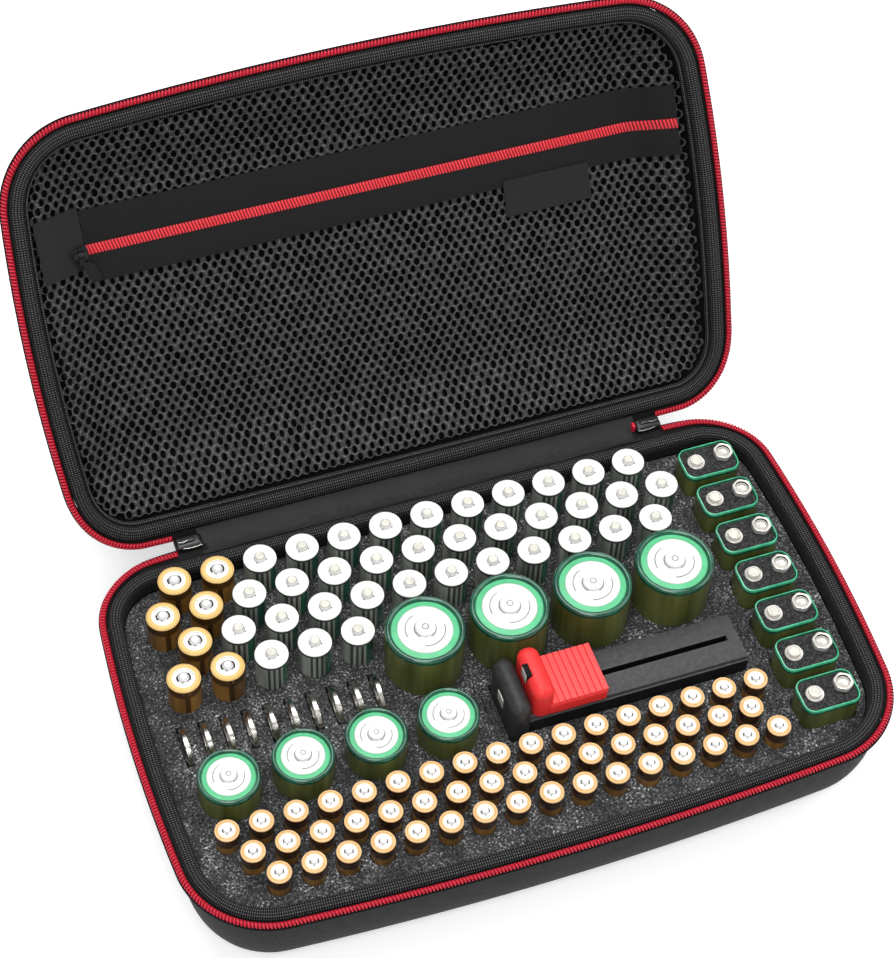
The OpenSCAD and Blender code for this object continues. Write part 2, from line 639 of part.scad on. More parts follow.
// Flat pull with a ring at the origin; it reaches towards -Z, thickness along Y
module pull(l, w, t, pin, grip, lean = 0) {
    ring_w = 2 * (grip - 2 * gap);
    difference() {
        union() {
            translate([-ring_w / 2, 0, 0]) rotate([0, 90, 0])
                cylinder(r = pin + gap + ring_wall, h = ring_w);
            translate([-ring_w / 2, -t / 2, -5]) cube([ring_w, t, 5]);
            rotate([0, -lean, 0]) translate([0, t / 2, -5]) rotate([90, 0, 0]) linear_extrude(t)
                polygon([[-ring_w / 2, 1], [-w / 2, -1.5], [-w / 2, -l + 6.5], [-w / 2 + 1.5, -l + 5],
                    [w / 2 - 1.5, -l + 5], [w / 2, -l + 6.5], [w / 2, -1.5], [ring_w / 2, 1]]);
        }
        translate([-4, 0, 0]) rotate([0, 90, 0]) cylinder(r = pin + gap, h = 8);
    }
}
module pull_tab(side) {
    color("black") translate([side * slider_x, pin_at[0], pin_at[1]]) pull(pull_l, 7, 1.8, pin_r, grip);
}

// Lid parts, written in the closed lid's coordinates: height above the parting plane
module lid_shell() {
    color("dimgray") lid_half() half_shell(LID_OUTLINE, lid_h, lid_belly_start);
}
module lid_binding() {
    color("darkslategray") lid_half() ring(BINDING, LID_OUTLINE);
}
piping_r = 0.7;
piping_in = flange_in + gap / 2 + piping_r;
module lid_piping() {
    color("black") lid_half() ring([for (k = [0 : 7])
        [-piping_in + piping_r * cos(45 * k), 4.6 + 1.9 * piping_r * sin(45 * k)]], LID_OUTLINE);
}
module lid_zip_tape() {
    color("black") lid_half() run(TAPE, LID_TAPE_PATH, lid_stray);
}
module lid_zip_coil() {
    color("crimson") lid_half() run(COIL, LID_ZIP_PATH, lid_stray);
}

// The mesh hangs as a flat-bottomed basin from the far edge of the rim flange.
mesh_rim = flange_deep - 0.4;
mesh_edge = flange_in + gap;
rim_x = half_w - mesh_edge;
rim_y = back_y - mesh_edge;
rim_back = rim_y + lid_back;
mesh_slope = 27;
function mesh_z(x, y) = mesh_rim + (mesh_depth - mesh_rim)
    * ease((rim_x - 1.5 - abs(x)) / mesh_slope) * ease(min(rim_back - 1 - y, rim_y - 1 + y) / 33);
MESH_RINGS = [[1, 1], [0.975, 0.95], [0.945, 0.89], [0.91, 0.82], [0.87, 0.74], [0.82, 0.64],
    [0.76, 0.5], [0.4, 0.26]];
function mesh_ring(f, up) =
    [for (p = LID_OUTLINE) let(q = moved(p, -mesh_edge), x = q[0] * f[0], y = q[1] * f[1])
        [x, y, mesh_z(x, y) + up]];
module mesh_panel() {
    under = [for (f = reverse(MESH_RINGS)) mesh_ring(f, 0)];
    over = [for (f = MESH_RINGS) mesh_ring(f, mesh_t)];
    color("dimgray") lid_half() loft(concat(under, over));
}
// Room for the mesh's facets under what lies on it
facet_room = 0.2;
// Strip of fabric laid along the mesh on the room side, from x0 to x1 and y0 to y1
module laid(x0, x1, y0, y1, under, t, n = 14) {
    loft([for (k = [0 : n]) let(
        x = x0 + (x1 - x0) * k / n,
        e = ease((rim_x - 1.5 - abs(x)) / mesh_slope),
        z = mesh_z(x, pocket_y) - under - facet_room - 2.8 * e * (1 - e))
        [[x, y0, z - t], [x, y1, z - t], [x, y1, z], [x, y0, z]]]);
}
coil_half = pocket_coil_w / 2;
band_y0 = pocket_y - coil_half - band_front;
band_y1 = pocket_y + coil_half + band_rear;
band_x0 = 26.15 - rim_x;
band_x1 = rim_x - 5.15;
module pocket_band_front() {
    color("black") lid_half()
        laid(band_x0, band_x1, band_y0, pocket_y - coil_half - gap, gap, band_t);
}
module pocket_band_rear() {
    color("black") lid_half()
        laid(band_x0, band_x1, pocket_y + coil_half + gap, band_y1, gap, band_t);
}
module pocket_zip_coil() {
    color("crimson") lid_half()
        laid(band_x0, band_x1, pocket_y - coil_half, pocket_y + coil_half, gap, 1.3, 24);
}
patch_x0 = 4.65 - rim_x;
patch_t = 1.3;
pocket_slider_l = 7;
pocket_slider_w = 6.4;
pocket_slider_h = 1.5;
patch_x1 = band_x0 - pocket_slider_l;
module pocket_end_patch() {
    color("black") lid_half() laid(patch_x0, patch_x1, band_y0 - 2, band_y1 - 7, gap, patch_t, 5);
}
label_x = rim_x - 87.55;
label_t = 0.8;
module label_tab() {
    color("black") lid_half() translate([label_x, band_y1 - 3, mesh_depth - 2 * gap - band_t - label_t])
        cube([label_l, label_w, label_t]);
}
pocket_slider_x = patch_x1 + gap + pocket_slider_l / 2;
pocket_slider_z = mesh_z(patch_x1, 0) - 2 * gap;
pocket_pin_r = 0.55;
pocket_grip = 1.6;
pocket_lug = pocket_pin_r + gap + ring_wall + gap;
// The pull hangs down the lid and leans against its mesh.
pocket_pull_rest = 16;
pocket_pull_lean = 22;
module pocket_zip_slider() {
    color("black") lid_half() translate([pocket_slider_x, pocket_y, pocket_slider_z]) mirror([0, 0, 1])
        slider_part(pocket_slider_l, pocket_slider_w, pocket_slider_h, pocket_lug,
            pocket_pin_r, pocket_grip);
}
module pocket_pull_tab() {
    color("black") lid_half()
        translate([pocket_slider_x, pocket_y, pocket_slider_z - pocket_slider_h - pocket_lug])
            rotate([90 + pocket_pull_rest, 0, 0])
                pull(15.5, 5, 1, pocket_pin_r, pocket_grip, pocket_pull_lean);
}

// Groups of cells
module button_cells() {
    color("silver") for (k = [0 : button_n - 1]) button_cell(k);
}
module aa_gold_row(r) {
    color("gold") for (k = [0 : aa_golds[r] - 1]) aa_cell(aa_at(r, k));
}
module aa_white_row(r) {
    color("white") for (k = [aa_golds[r] : aa_count(r) - 1]) aa_cell(aa_at(r, k));
}
module aaa_row(r) {
    color("orange") for (k = [0 : aaa_count(r) - 1]) aaa_cell(aaa_at(r, k));
}

base_shell();
base_binding();
base_zip_tape();
base_zip_coil();
foam_pad();
foam_insert();
hinge_strip();
zip_slider(-1);  // zip_slider_left
zip_slider(1);  // zip_slider_right
pull_tab(-1);  // pull_tab_left
pull_tab(1);  // pull_tab_right
tester_body();
tester_contact();
tester_slider();
tester_slider_contact();
d_cell(0);  // d_cell_1
d_cell(1);  // d_cell_2
d_cell(2);  // d_cell_3
d_cell(3);  // d_cell_4
c_cell(0);  // c_cell_1
c_cell(1);  // c_cell_2
c_cell(2);  // c_cell_3
c_cell(3);  // c_cell_4
block_cell(0);  // block_cell_1
block_cell(1);  // block_cell_2
block_cell(2);  // block_cell_3
block_cell(3);  // block_cell_4
block_cell(4);  // block_cell_5
block_cell(5);  // block_cell_6
block_cell(6);  // block_cell_7
button_cells();
aa_gold_row(0);  // aa_gold_row_1
aa_gold_row(1);  // aa_gold_row_2
aa_gold_row(2);  // aa_gold_row_3
aa_gold_row(3);  // aa_gold_row_4
aa_white_row(0);  // aa_white_row_1
aa_white_row(1);  // aa_white_row_2
aa_white_row(2);  // aa_white_row_3
aa_white_row(3);  // aa_white_row_4
aaa_row(0);  // aaa_row_1
aaa_row(1);  // aaa_row_2
aaa_row(2);  // aaa_row_3
lid_shell();
lid_binding();
lid_piping();
lid_zip_tape();
lid_zip_coil();
mesh_panel();
pocket_band_front();
pocket_band_rear();
pocket_zip_coil();
pocket_zip_slider();
pocket_pull_tab();
pocket_end_patch();
label_tab();
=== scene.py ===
"""Looks of the zip-around battery organizer case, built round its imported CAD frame.

Lengths are millimetres until `place` turns them into the frame's metres. The case is drawn in "half"
coordinates: x, y in plan and h, the height away from the parting plane. `in_base` hangs such a point
below the plane and `in_lid` stands it in the open lid.
"""

from math import atan2, cos, hypot, pi, radians, sin, sqrt

import bpy
import numpy as np
from mathutils import Matrix, Vector


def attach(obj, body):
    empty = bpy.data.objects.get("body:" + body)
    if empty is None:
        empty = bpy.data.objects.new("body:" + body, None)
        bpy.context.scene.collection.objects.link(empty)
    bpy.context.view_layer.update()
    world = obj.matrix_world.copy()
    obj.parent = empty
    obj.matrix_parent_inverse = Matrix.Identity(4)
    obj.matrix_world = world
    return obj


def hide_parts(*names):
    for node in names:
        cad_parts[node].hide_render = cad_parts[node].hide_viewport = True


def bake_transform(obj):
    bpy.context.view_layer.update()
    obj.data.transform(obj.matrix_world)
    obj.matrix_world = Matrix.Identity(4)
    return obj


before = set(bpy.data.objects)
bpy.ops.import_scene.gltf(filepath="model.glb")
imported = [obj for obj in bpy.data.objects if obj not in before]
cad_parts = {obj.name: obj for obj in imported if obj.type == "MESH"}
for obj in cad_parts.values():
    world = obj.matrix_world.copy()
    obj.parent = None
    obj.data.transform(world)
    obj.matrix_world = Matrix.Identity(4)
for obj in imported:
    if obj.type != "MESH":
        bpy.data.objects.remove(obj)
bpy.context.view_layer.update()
MM = 0.001
rng = np.random.default_rng(7)

# Case, as in the part's source: its size, the bows of its sides, corners, hinge, foam, shell and zip
CASE_W, CASE_D, BASE_H, LID_H = 322.4, 192.3, 46.1, 33.0
SIDE_BOW, FRONT_BOW, BACK_BOW = 5.6, 7.2, 0.8
R_FRONT, R_BACK = 39.0, 29.7
HINGE_OUT, HINGE_DROP, OPEN = 8.0, 0.5, radians(121.7)
FOAM_TOP, FLOOR_Z = 36.6, 4.0
SIDE_IN, WALL, FLANGE_Z, FLANGE_IN, FLANGE_DEEP = 2.0, 2.5, 3.2, 8.8, 9.0
BELLY, BELLY_BACK = 13.0, 10.0
ZIP_END, ZIP_TURN, STRIP_HALF = 117.365, 34.0, 103.465
BASE_STRAY, LID_STRAY, TAPE_OUT = 1.5, 0.35, 1.0
# How much further the lid's outline reaches towards the hinge
LID_BACK = 7.5
HALF_W, FRONT_Y, BACK_Y = CASE_W / 2, -CASE_D / 2, CASE_D / 2
HINGE_Y, HINGE_Z = BACK_Y + HINGE_OUT, BASE_H - HINGE_DROP


def in_base(p):
    p = np.asarray(p, float)
    return np.column_stack([p[:, 0], p[:, 1], BASE_H - p[:, 2]])


def in_lid(p):
    p = np.asarray(p, float)
    back, up = HINGE_Y - p[:, 1], p[:, 2] + HINGE_DROP
    c, s = cos(OPEN), sin(OPEN)
    return np.column_stack([p[:, 0], HINGE_Y - back * c + up * s, HINGE_Z + back * s + up * c])


# Plan outline of the zip line: points with their outward normals

def bow_radius(half, sag):
    return (half * half + sag * sag) / (2 * sag)


def corner_centre(c1, r1, c2, r2, r, toward):
    c1, c2 = np.array(c1), np.array(c2)
    d = c2 - c1
    reach = hypot(*d)
    along = (reach**2 + (r1 - r) ** 2 - (r2 - r) ** 2) / (2 * reach)
    across = sqrt((r1 - r) ** 2 - along**2)
    e = d / reach
    n = np.array([-e[1], e[0]])
    return max((c1 + e * along + n * across, c1 + e * along - n * across), key=lambda q: q @ toward)


def heading(a, b):
    return atan2(b[1] - a[1], b[0] - a[0])


SIDE_R = bow_radius((CASE_D - FRONT_BOW) / 2, SIDE_BOW)
FRONT_R = bow_radius(HALF_W - SIDE_BOW, FRONT_BOW)
BACK_R = bow_radius(HALF_W - SIDE_BOW, BACK_BOW)
RIGHT_C = (HALF_W - SIDE_R, FRONT_BOW / 2)
FRONT_C, BACK_C = (0, FRONT_Y + FRONT_R), (0, BACK_Y - BACK_R)
FR_C = corner_centre(RIGHT_C, SIDE_R, FRONT_C, FRONT_R, R_FRONT, np.array([1, -1]))
BR_C = corner_centre(RIGHT_C, SIDE_R, BACK_C, BACK_R, R_BACK, np.array([1, 1]))
A_FR, A_BR = heading(RIGHT_C, FR_C), heading(RIGHT_C, BR_C)
B_BR, F_FR = heading(BACK_C, BR_C), heading(FRONT_C, FR_C)


# Right half of the outline as arcs, from the middle of the back to the middle of the front
RIGHT_ARCS = [
    (BACK_C, BACK_R, pi / 2, B_BR),
    (BR_C, R_BACK, B_BR, A_BR),
    (RIGHT_C, SIDE_R, A_BR, A_FR),
    (FR_C, R_FRONT, A_FR, F_FR),
    (FRONT_C, FRONT_R, F_FR, -pi / 2),
]


def arc_points(step):
    """The right half of the outline, back to front, as rows of x, y, nx, ny."""
    rows = []
    for c, r, a0, a1 in RIGHT_ARCS:
        n = max(2, round(abs(a1 - a0) * r / step))
        for k in range(n):
            a = a0 + (a1 - a0) * k / n
            rows.append((c[0] + r * cos(a), c[1] + r * sin(a), cos(a), sin(a)))
    rows.append((0.0, FRONT_Y, 0.0, -1.0))
    return np.array(rows)


def outline(step=3.0):
    """The closed outline, anticlockwise from the middle of the back."""
    right = arc_points(step)
    left = right * [-1, 1, -1, 1]
    return np.vstack([left[:-1], right[:0:-1]])


def zip_path(step=1.0, end=ZIP_END):
    """The open line of the zip, from its end at the back left round the front to the back right."""
    right = arc_points(step)
    right = right[(right[:, 0] > end) | (right[:, 1] < 0)]
    left = right * [-1, 1, -1, 1]
    return np.vstack([left[:-1], right[::-1]])


def moved(path, off):
    """x and y of the path, moved outwards by off."""
    return path[:, 0] + off * path[:, 2], path[:, 1] + off * path[:, 3]


def hingeward(path):
    """How far each point of the path faces the hinge, from 0 to 1."""
    return np.maximum(0, path[:, 3]) ** 2


def widened(path, place):
    """The path as one half has it: the lid reaches further towards the hinge."""
    if place is not in_lid:
        return path
    add = (LID_BACK * hingeward(path))[:, None]
    return np.hstack([path[:, :2] + add * path[:, 2:], path[:, 2:]])


def ease(t):
    t = np.clip(t, 0, 1)
    return t * t * (3 - 2 * t)


def near_hinge(path):
    """Rises from 0 to 1 over the last stretch of the zip, where it splays."""
    return np.where(path[:, 1] > 0, ease(1 - (np.abs(path[:, 0]) - ZIP_END) / ZIP_TURN), 0.0)


def along(path, closed=False):
    d = np.diff(np.vstack([path, path[:1]]) if closed else path, axis=0)
    return np.concatenate([[0], np.cumsum(np.hypot(d[:, 0], d[:, 1]))])


# Mesh building

class Build:
    """Collects vertices, faces, materials and UVs, and turns them into one piece."""

    def __init__(self):
        self.v, self.f, self.m, self.uv, self.mats, self.n = [], [], [], [], [], 0

    def add(self, verts, faces, mats, uv=None):
        """mats is one material or one for each face; uv, if any, holds a pair for each face corner."""
        self.v.append(np.asarray(verts, float))
        for k, f in enumerate(faces):
            mat = mats[k] if isinstance(mats, list) else mats
            if mat not in self.mats:
                self.mats.append(mat)
            self.f.append([i + self.n for i in f])
            self.m.append(self.mats.index(mat))
            self.uv.extend(uv[k] if uv is not None else [(0, 0)] * len(f))
        self.n += len(verts)

    def cover(self, count, faces, mat):
        """Adds faces whose corners are counted from the first of the last `count` vertices."""
        self.add(np.zeros((0, 3)), [[i - count for i in f] for f in faces], mat)

    def piece(self, name, node, slot, smooth, body="case_base", place=np.asarray):
        """Makes the object; it stands for the frame's node, and rides on the body unless that is None."""
        mesh = bpy.data.meshes.new(name)
        verts = place(np.vstack(self.v)) * MM
        mesh.from_pydata(verts.tolist(), [], self.f)
        layer = mesh.uv_layers.new(name="UVMap")
        layer.data.foreach_set("uv", np.array(self.uv, float).ravel())
        for mat in self.mats:
            mesh.materials.append(mat)
        mesh.polygons.foreach_set("material_index", self.m)
        mesh.update()
        mesh.shade_smooth()
        mesh.set_sharp_from_angle(angle=radians(smooth))
        obj = bpy.data.objects.new(name, mesh)
        bpy.context.scene.collection.objects.link(obj)
        if body:
            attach(obj, body)
        if node:
            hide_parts(node)
        return obj


def grid_faces(n, m, close_n=False, close_m=False, flip_faces=False):
    faces, cells = [], []
    for i in range(n if close_n else n - 1):
        for j in range(m if close_m else m - 1):
            a, b = i * m + j, ((i + 1) % n) * m + j
            c, d = ((i + 1) % n) * m + (j + 1) % m, i * m + (j + 1) % m
            faces.append((a, d, c, b) if flip_faces else (a, b, c, d))
            cells.append((i, j))
    return faces, cells


def grid_uv(us, ws, cells):
    return [[(us[i], ws[j]), (us[i + 1], ws[j]), (us[i + 1], ws[j + 1]), (us[i], ws[j + 1])]
            for i, j in cells]


def sweep(build, path, section, mat, closed=False, caps=False, turn=False, stray=0.0):
    """Carries a closed section of (offset, height) points along the path. UVs are in millimetres.
    stray moves the part of the section above the flange outwards near the hinge."""
    section = np.asarray(section, float)
    e = near_hinge(path) * stray if stray else np.zeros(len(path))
    n, m = len(path), len(section)
    off = section[None, :, 0] + e[:, None] * (section[None, :, 1] < FLANGE_Z)
    x = path[:, None, 0] + off * path[:, None, 2]
    y = path[:, None, 1] + off * path[:, None, 3]
    h = np.broadcast_to(section[None, :, 1], x.shape)
    verts = np.stack([x, y, h], axis=2).reshape(-1, 3)
    faces, cells = grid_faces(n, m, closed, True, turn)
    u = along(path, closed)
    ring = np.vstack([section, section[:1]])
    w = np.concatenate([[0], np.cumsum(np.hypot(*np.diff(ring, axis=0).T))])
    uv = grid_uv(u, w, cells)
    build.add(verts, faces, mat, [q[:1] + q[:0:-1] for q in uv] if turn else uv)
    if caps:
        first, last = list(range(m)), list(range((n - 1) * m, n * m))
        build.cover(len(verts), [first, last[::-1]] if turn else [first[::-1], last], mat)


def two_skins(build, upper, lower, us, ws, mat, inward=False):
    """Closes two grids of points, one above the other, into a sheet with thickness.
    us and ws are the UV values along and across the grid."""
    n, m = len(us), len(ws)
    faces, cells = grid_faces(n, m)
    uv = grid_uv(us, ws, cells)
    skins = [(faces, uv), ([f[::-1] for f in faces], [q[::-1] for q in uv])]
    for verts, (skin, corners) in zip((upper, lower), skins[::-1] if inward else skins):
        build.add(np.array(verts), skin, mat, corners)
    k = n * m
    sides = []
    for i in range(n - 1):
        a, c = i * m, (i + 1) * m
        sides += [(a, c, c + k, a + k), (c + m - 1, a + m - 1, a + m - 1 + k, c + m - 1 + k)]
    for j in range(m - 1):
        a, c = j, (n - 1) * m + j
        sides += [(a + 1, a, a + k, a + 1 + k), (c, c + 1, c + 1 + k, c + k)]
    build.cover(2 * k, [f if inward else f[::-1] for f in sides], mat)


def tube(build, pts, radius, mat, sides=6):
    """A round tube along points, with frames carried from one to the next."""
    pts = np.asarray(pts, float)
    t = np.gradient(pts, axis=0)
    t /= np.linalg.norm(t, axis=1)[:, None] + 1e-12
    n = np.cross(t[0], [0.0, 0.0, 1.0])
    if np.linalg.norm(n) < 1e-6:
        n = np.array([1.0, 0, 0])
    rows = []
    a = np.arange(sides) * 2 * pi / sides
    for p, ahead in zip(pts, t):
        n = n - ahead * (n @ ahead)
        n /= np.linalg.norm(n)
        b = np.cross(ahead, n)
        rows.append(p + radius * (np.outer(np.cos(a), n) + np.outer(np.sin(a), b)))
    faces, cells = grid_faces(len(pts), sides, False, True)
    verts = np.vstack(rows)
    u = np.concatenate([[0], np.cumsum(np.linalg.norm(np.diff(pts, axis=0), axis=1))])
    w = 2 * pi * radius / sides * np.arange(sides + 1)
    build.add(verts, faces, mat, grid_uv(u, w, cells))
    build.cover(len(verts), [range(sides)[::-1], range(len(verts) - sides, len(verts))], mat)


def lathe(build, at, profile, n=32, spin=0.0, marks=()):
    """Turns (r, z, material) rows about a vertical axis at `at`; each row's material runs to the next row.
    marks are (row, from, to, material) sectors in degrees."""
    a = spin + np.arange(n) * 2 * pi / n
    verts = [(at[0] + r * cos(t), at[1] + r * sin(t), at[2] + z) for r, z, _ in profile for t in a]
    faces, mats, uv = [], [], []
    for k, (r, z, mat) in enumerate(profile[:-1]):
        for j in range(n):
            q = (j + 1) % n
            if r < 1e-6:
                f = (k * n, (k + 1) * n + q, (k + 1) * n + j)
            elif profile[k + 1][0] < 1e-6:
                f = (k * n + j, k * n + q, (k + 1) * n)
            else:
                f = (k * n + j, k * n + q, (k + 1) * n + q, (k + 1) * n + j)
            deg = (j + 0.5) * 360 / n
            here = [other for row, start, end, other in marks if row == k and start <= deg < end]
            faces.append(f)
            mats.append(here[-1] if here else mat)
            uv.append([(t * 0.1, z) for t in range(len(f))])
    build.add(verts, faces, mats, uv)


# Materials

class Shader:
    """A material and short ways of adding nodes to it."""

    def __init__(self, name, color, rough, metal=0.0, shine=0.5, **sockets):
        self.mat = bpy.data.materials.new(name)
        self.mat.use_nodes = True
        self.tree = self.mat.node_tree
        self.bsdf = self.tree.nodes["Principled BSDF"]
        self.set(self.bsdf, Base_Color=(*color, 1), Roughness=rough, Metallic=metal,
                 Specular_IOR_Level=shine, **sockets)

    def put(self, socket, value):
        """Links an output to the socket, or sets the socket's constant."""
        if isinstance(value, bpy.types.NodeSocket):
            self.tree.links.new(value, socket)
        else:
            socket.default_value = value

    def set(self, node, **sockets):
        for key, value in sockets.items():
            self.put(node.inputs[key.replace("_", " ")], value)

    def node(self, kind, **sockets):
        node = self.tree.nodes.new("ShaderNode" + kind)
        self.set(node, **sockets)
        return node

    def coord(self, kind="Object", scale=(1, 1, 1)):
        at = self.node("TexCoord").outputs[kind]
        return self.node("Mapping", Vector=at, Scale=scale).outputs["Vector"]

    def noise(self, scale, detail=3.0, at=None, rough=0.55):
        at = at if at is not None else self.coord()
        return self.node("TexNoise", Vector=at, Scale=scale, Detail=detail, Roughness=rough).outputs["Fac"]

    def wave(self, at, scale, direction, distort=0.0):
        n = self.node("TexWave", Vector=at, Scale=scale, Distortion=distort)
        n.bands_direction = direction
        return n.outputs["Fac"]

    def math(self, op, *values):
        n = self.node("Math")
        n.operation = op
        for socket, value in zip(n.inputs, values):
            self.put(socket, value)
        return n.outputs[0]

    def paint(self, fac, *stops):
        """Colours the material by a ramp of (place, colour) stops."""
        n = self.node("ValToRGB", Fac=fac)
        marks = n.color_ramp.elements
        while len(marks) < len(stops):
            marks.new(0.5)
        for mark, (place, color) in zip(marks, stops):
            mark.position = place
            mark.color = (*color, 1)
        self.set(self.bsdf, Base_Color=n.outputs["Color"])

    def bump(self, height, strength, distance):
        """Adds relief, its distance in millimetres, and returns the finished material."""
        n = self.node("Bump", Height=height, Strength=strength, Distance=distance * MM)
        self.set(self.bsdf, Normal=n.outputs["Normal"])
        return self.mat


def woven(name, dark, light, pitch, rough, uv=False, strength=0.5):
    """A plain weave: two sets of threads at right angles, pitch in millimetres."""
    s = Shader(name, light, rough, Sheen_Weight=0.03, Sheen_Roughness=0.5, shine=0.15)
    k = 1 / pitch if uv else 1 / (pitch * MM)
    at = s.coord("UV" if uv else "Object", (k, k, k))
    a, b = s.wave(at, 0.5, "X"), s.wave(at, 0.5, "Y")
    c = s.wave(at, 0.5, "Z") if not uv else a
    cloth = s.math("MULTIPLY", s.math("MAXIMUM", a, c), s.math("MULTIPLY_ADD", b, 0.6, 0.4))
    fine = s.noise(2.2 if uv else 1400, 2.0, s.coord("UV") if uv else None)
    mixed = s.math("ADD", s.math("MULTIPLY", cloth, 0.6), s.math("MULTIPLY", fine, 0.4))
    s.paint(mixed, (0.25, dark), (0.75, light))
    return s.bump(cloth, strength, 0.15)


def grey(v):
    return (v, v, v * 1.03)


M = {}
M["shell"] = woven("shell_weave", grey(0.012), grey(0.024), 0.9, 0.7, strength=0.3)
M["lining"] = woven("lining", grey(0.004), grey(0.014), 0.8, 0.7)
M["satin"] = woven("satin_cloth", grey(0.014), grey(0.03), 0.5, 0.6, strength=0.2)


def ribbed(name, dark, light, pitch, slant):
    """Cord ribs across the roll, broken into short dashes by the weave; the brightest tones of the dashes are
    painted highlights on the rib crests.
    """
    s = Shader(name, light, 0.62, Sheen_Weight=0.02, Sheen_Roughness=0.4, shine=0.15)
    at = s.coord("UV", (1 / pitch, slant / pitch, 1))
    ribs = s.wave(at, pi / 10, "X", 0.2)
    cross = s.wave(s.coord("UV", (-0.3, 0.75, 1)), pi / 10, "Y", 0.6)
    fine = s.noise(1.3, 3.0, s.coord("UV", (0.7, 1.6, 1.0)), 0.7)
    dots = s.math("MULTIPLY", ribs, s.math("MULTIPLY_ADD", cross, 0.65, 0.35))
    mixed = s.math("ADD", s.math("MULTIPLY", dots, 0.6), s.math("MULTIPLY", fine, 0.5))
    # The stops at 3 and 12 times the light colour are painted highlights on the crests of the ribs
    s.paint(mixed, (0.3, dark), (0.5, light), (0.68, tuple(3 * x for x in light)),
            (0.88, tuple(12 * x for x in light)))
    return s.bump(ribs, 0.6, 0.25)


M["binding"] = ribbed("binding_ribs", grey(0.003), grey(0.016), 1.05, 0.3)
M["piping"] = ribbed("piping_cord", grey(0.003), grey(0.02), 1.05, 0.5)
M["tape"] = woven("tape_weave", grey(0.003), grey(0.012), 0.7, 0.7, uv=True)
M["band"] = woven("band_weave", grey(0.006), grey(0.018), 0.6, 0.65, uv=True, strength=0.3)
M["patch"] = woven("patch_satin", grey(0.012), grey(0.024), 0.5, 0.5, strength=0.15)

M["red"] = Shader("coil_red", (0.62, 0.012, 0.04), 0.3, shine=0.45).mat
M["red_light"] = Shader("coil_red_light", (0.84, 0.045, 0.06), 0.4, shine=0.4).mat
# The coil's core cord: the same red painted darker, as shade inside the turns
M["red_core"] = Shader("coil_core_shade", (0.26, 0.004, 0.012), 0.5, shine=0.2).mat
M["red_dark"] = Shader("coil_shade", (0.16, 0.004, 0.012), 0.6).mat


def foam_material():
    s = Shader("foam_cells", grey(0.03), 0.85, shine=0.2)
    grain = s.noise(1100, 4.0)
    broad = s.noise(90, 2.0)
    mixed = s.math("ADD", s.math("MULTIPLY", grain, 0.75), s.math("MULTIPLY", broad, 0.25))
    s.paint(mixed, (0.37, grey(0.011)), (0.53, grey(0.052)), (0.61, grey(0.17)), (0.69, grey(0.75)))
    return s.bump(grain, 0.5, 0.3)


M["foam"] = foam_material()


def speckled(name, dark, mid, light, scale, rough, bump, shine):
    s = Shader(name, mid, rough, shine=shine)
    grain = s.noise(scale, 3.0)
    s.paint(grain, (0.35, dark), (0.55, mid), (0.75, light))
    return s.bump(grain, bump, 0.2)



def cap_paint(name, low, mid, high):
    return speckled(name, low, mid, high, 300, 0.5, 0.05, 0.2)


def knit_material():
    """The threads run along the borders of the cells, where the first UV value is 0."""
    s = Shader("knit_mesh", grey(0.03), 0.75, shine=0.15)
    at = s.node("SeparateXYZ", Vector=s.coord("UV"))
    grain = s.noise(700, 3.0)
    mixed = s.math("ADD", at.outputs["X"], s.math("MULTIPLY_ADD", grain, -1.5, 0.75))
    s.paint(mixed, (0.0, grey(0.15)), (0.16, grey(0.055)), (0.5, grey(0.028)), (1.0, grey(0.045)))
    return s.bump(grain, 0.4, 0.2)


M["knit"] = knit_material()
# Near black and without shine: painted shade for the inside of the pocket behind the mesh
M["knit_back_shade"] = speckled("knit_back_shade", grey(0.002), grey(0.004), grey(0.007), 900, 1.0, 0.1, 0.0)


def sleeve(name, color, dark, rough, metal, coat):
    """Printed sleeve with faint streaks along the cell."""
    s = Shader(name, color, rough, metal, Coat_Weight=coat, Coat_Roughness=0.12, shine=0.3)
    streak = s.noise(1.0, 2.0, s.coord("Object", (160, 160, 12)))
    s.paint(streak, (0.3, dark), (0.7, color))
    s.set(s.bsdf, Roughness=s.math("MULTIPLY_ADD", streak, rough * 0.5, rough * 0.8))
    return s.mat


M["gold"] = sleeve("sleeve_gold", (0.40, 0.20, 0.04), (0.13, 0.06, 0.012), 0.3, 0.25, 0.3)
# A darker copy of the gold sleeve: painted shade under the cap and in a stripe down the side facing the
# camera
M["gold_shade"] = sleeve("sleeve_gold_painted_shade", (0.10, 0.045, 0.008), (0.035, 0.017, 0.004), 0.3, 0.3, 0.3)
M["gold_ring"] = sleeve("ring_gold", (0.82, 0.56, 0.22), (0.76, 0.48, 0.15), 0.5, 0.0, 0.0)
M["gold_line"] = sleeve("ring_gold_line", (0.55, 0.33, 0.12), (0.48, 0.28, 0.09), 0.5, 0.0, 0.0)
M["orange_ring"] = sleeve("ring_orange", (0.80, 0.53, 0.27), (0.74, 0.45, 0.20), 0.5, 0.0, 0.0)
M["collar"] = sleeve("collar_brown", (0.07, 0.03, 0.012), (0.02, 0.009, 0.005), 0.22, 0.2, 0.5)
M["olive"] = sleeve("sleeve_olive", (0.15, 0.17, 0.045), (0.06, 0.07, 0.014), 0.35, 0.1, 0.2)
M["dark_green"] = sleeve("sleeve_dark_green", (0.010, 0.13, 0.07), (0.004, 0.05, 0.03), 0.1, 0.1, 1.0)
M["mint"] = sleeve("ring_mint", (0.12, 0.57, 0.28), (0.10, 0.49, 0.23), 0.45, 0.0, 0.2)
M["mint_edge"] = sleeve("edge_mint", (0.10, 0.58, 0.32), (0.02, 0.30, 0.15), 0.2, 0.0, 0.8)
M["dark_body"] = sleeve("sleeve_pale", (0.40, 0.42, 0.38), (0.09, 0.11, 0.09), 0.25, 0.0, 0.4)
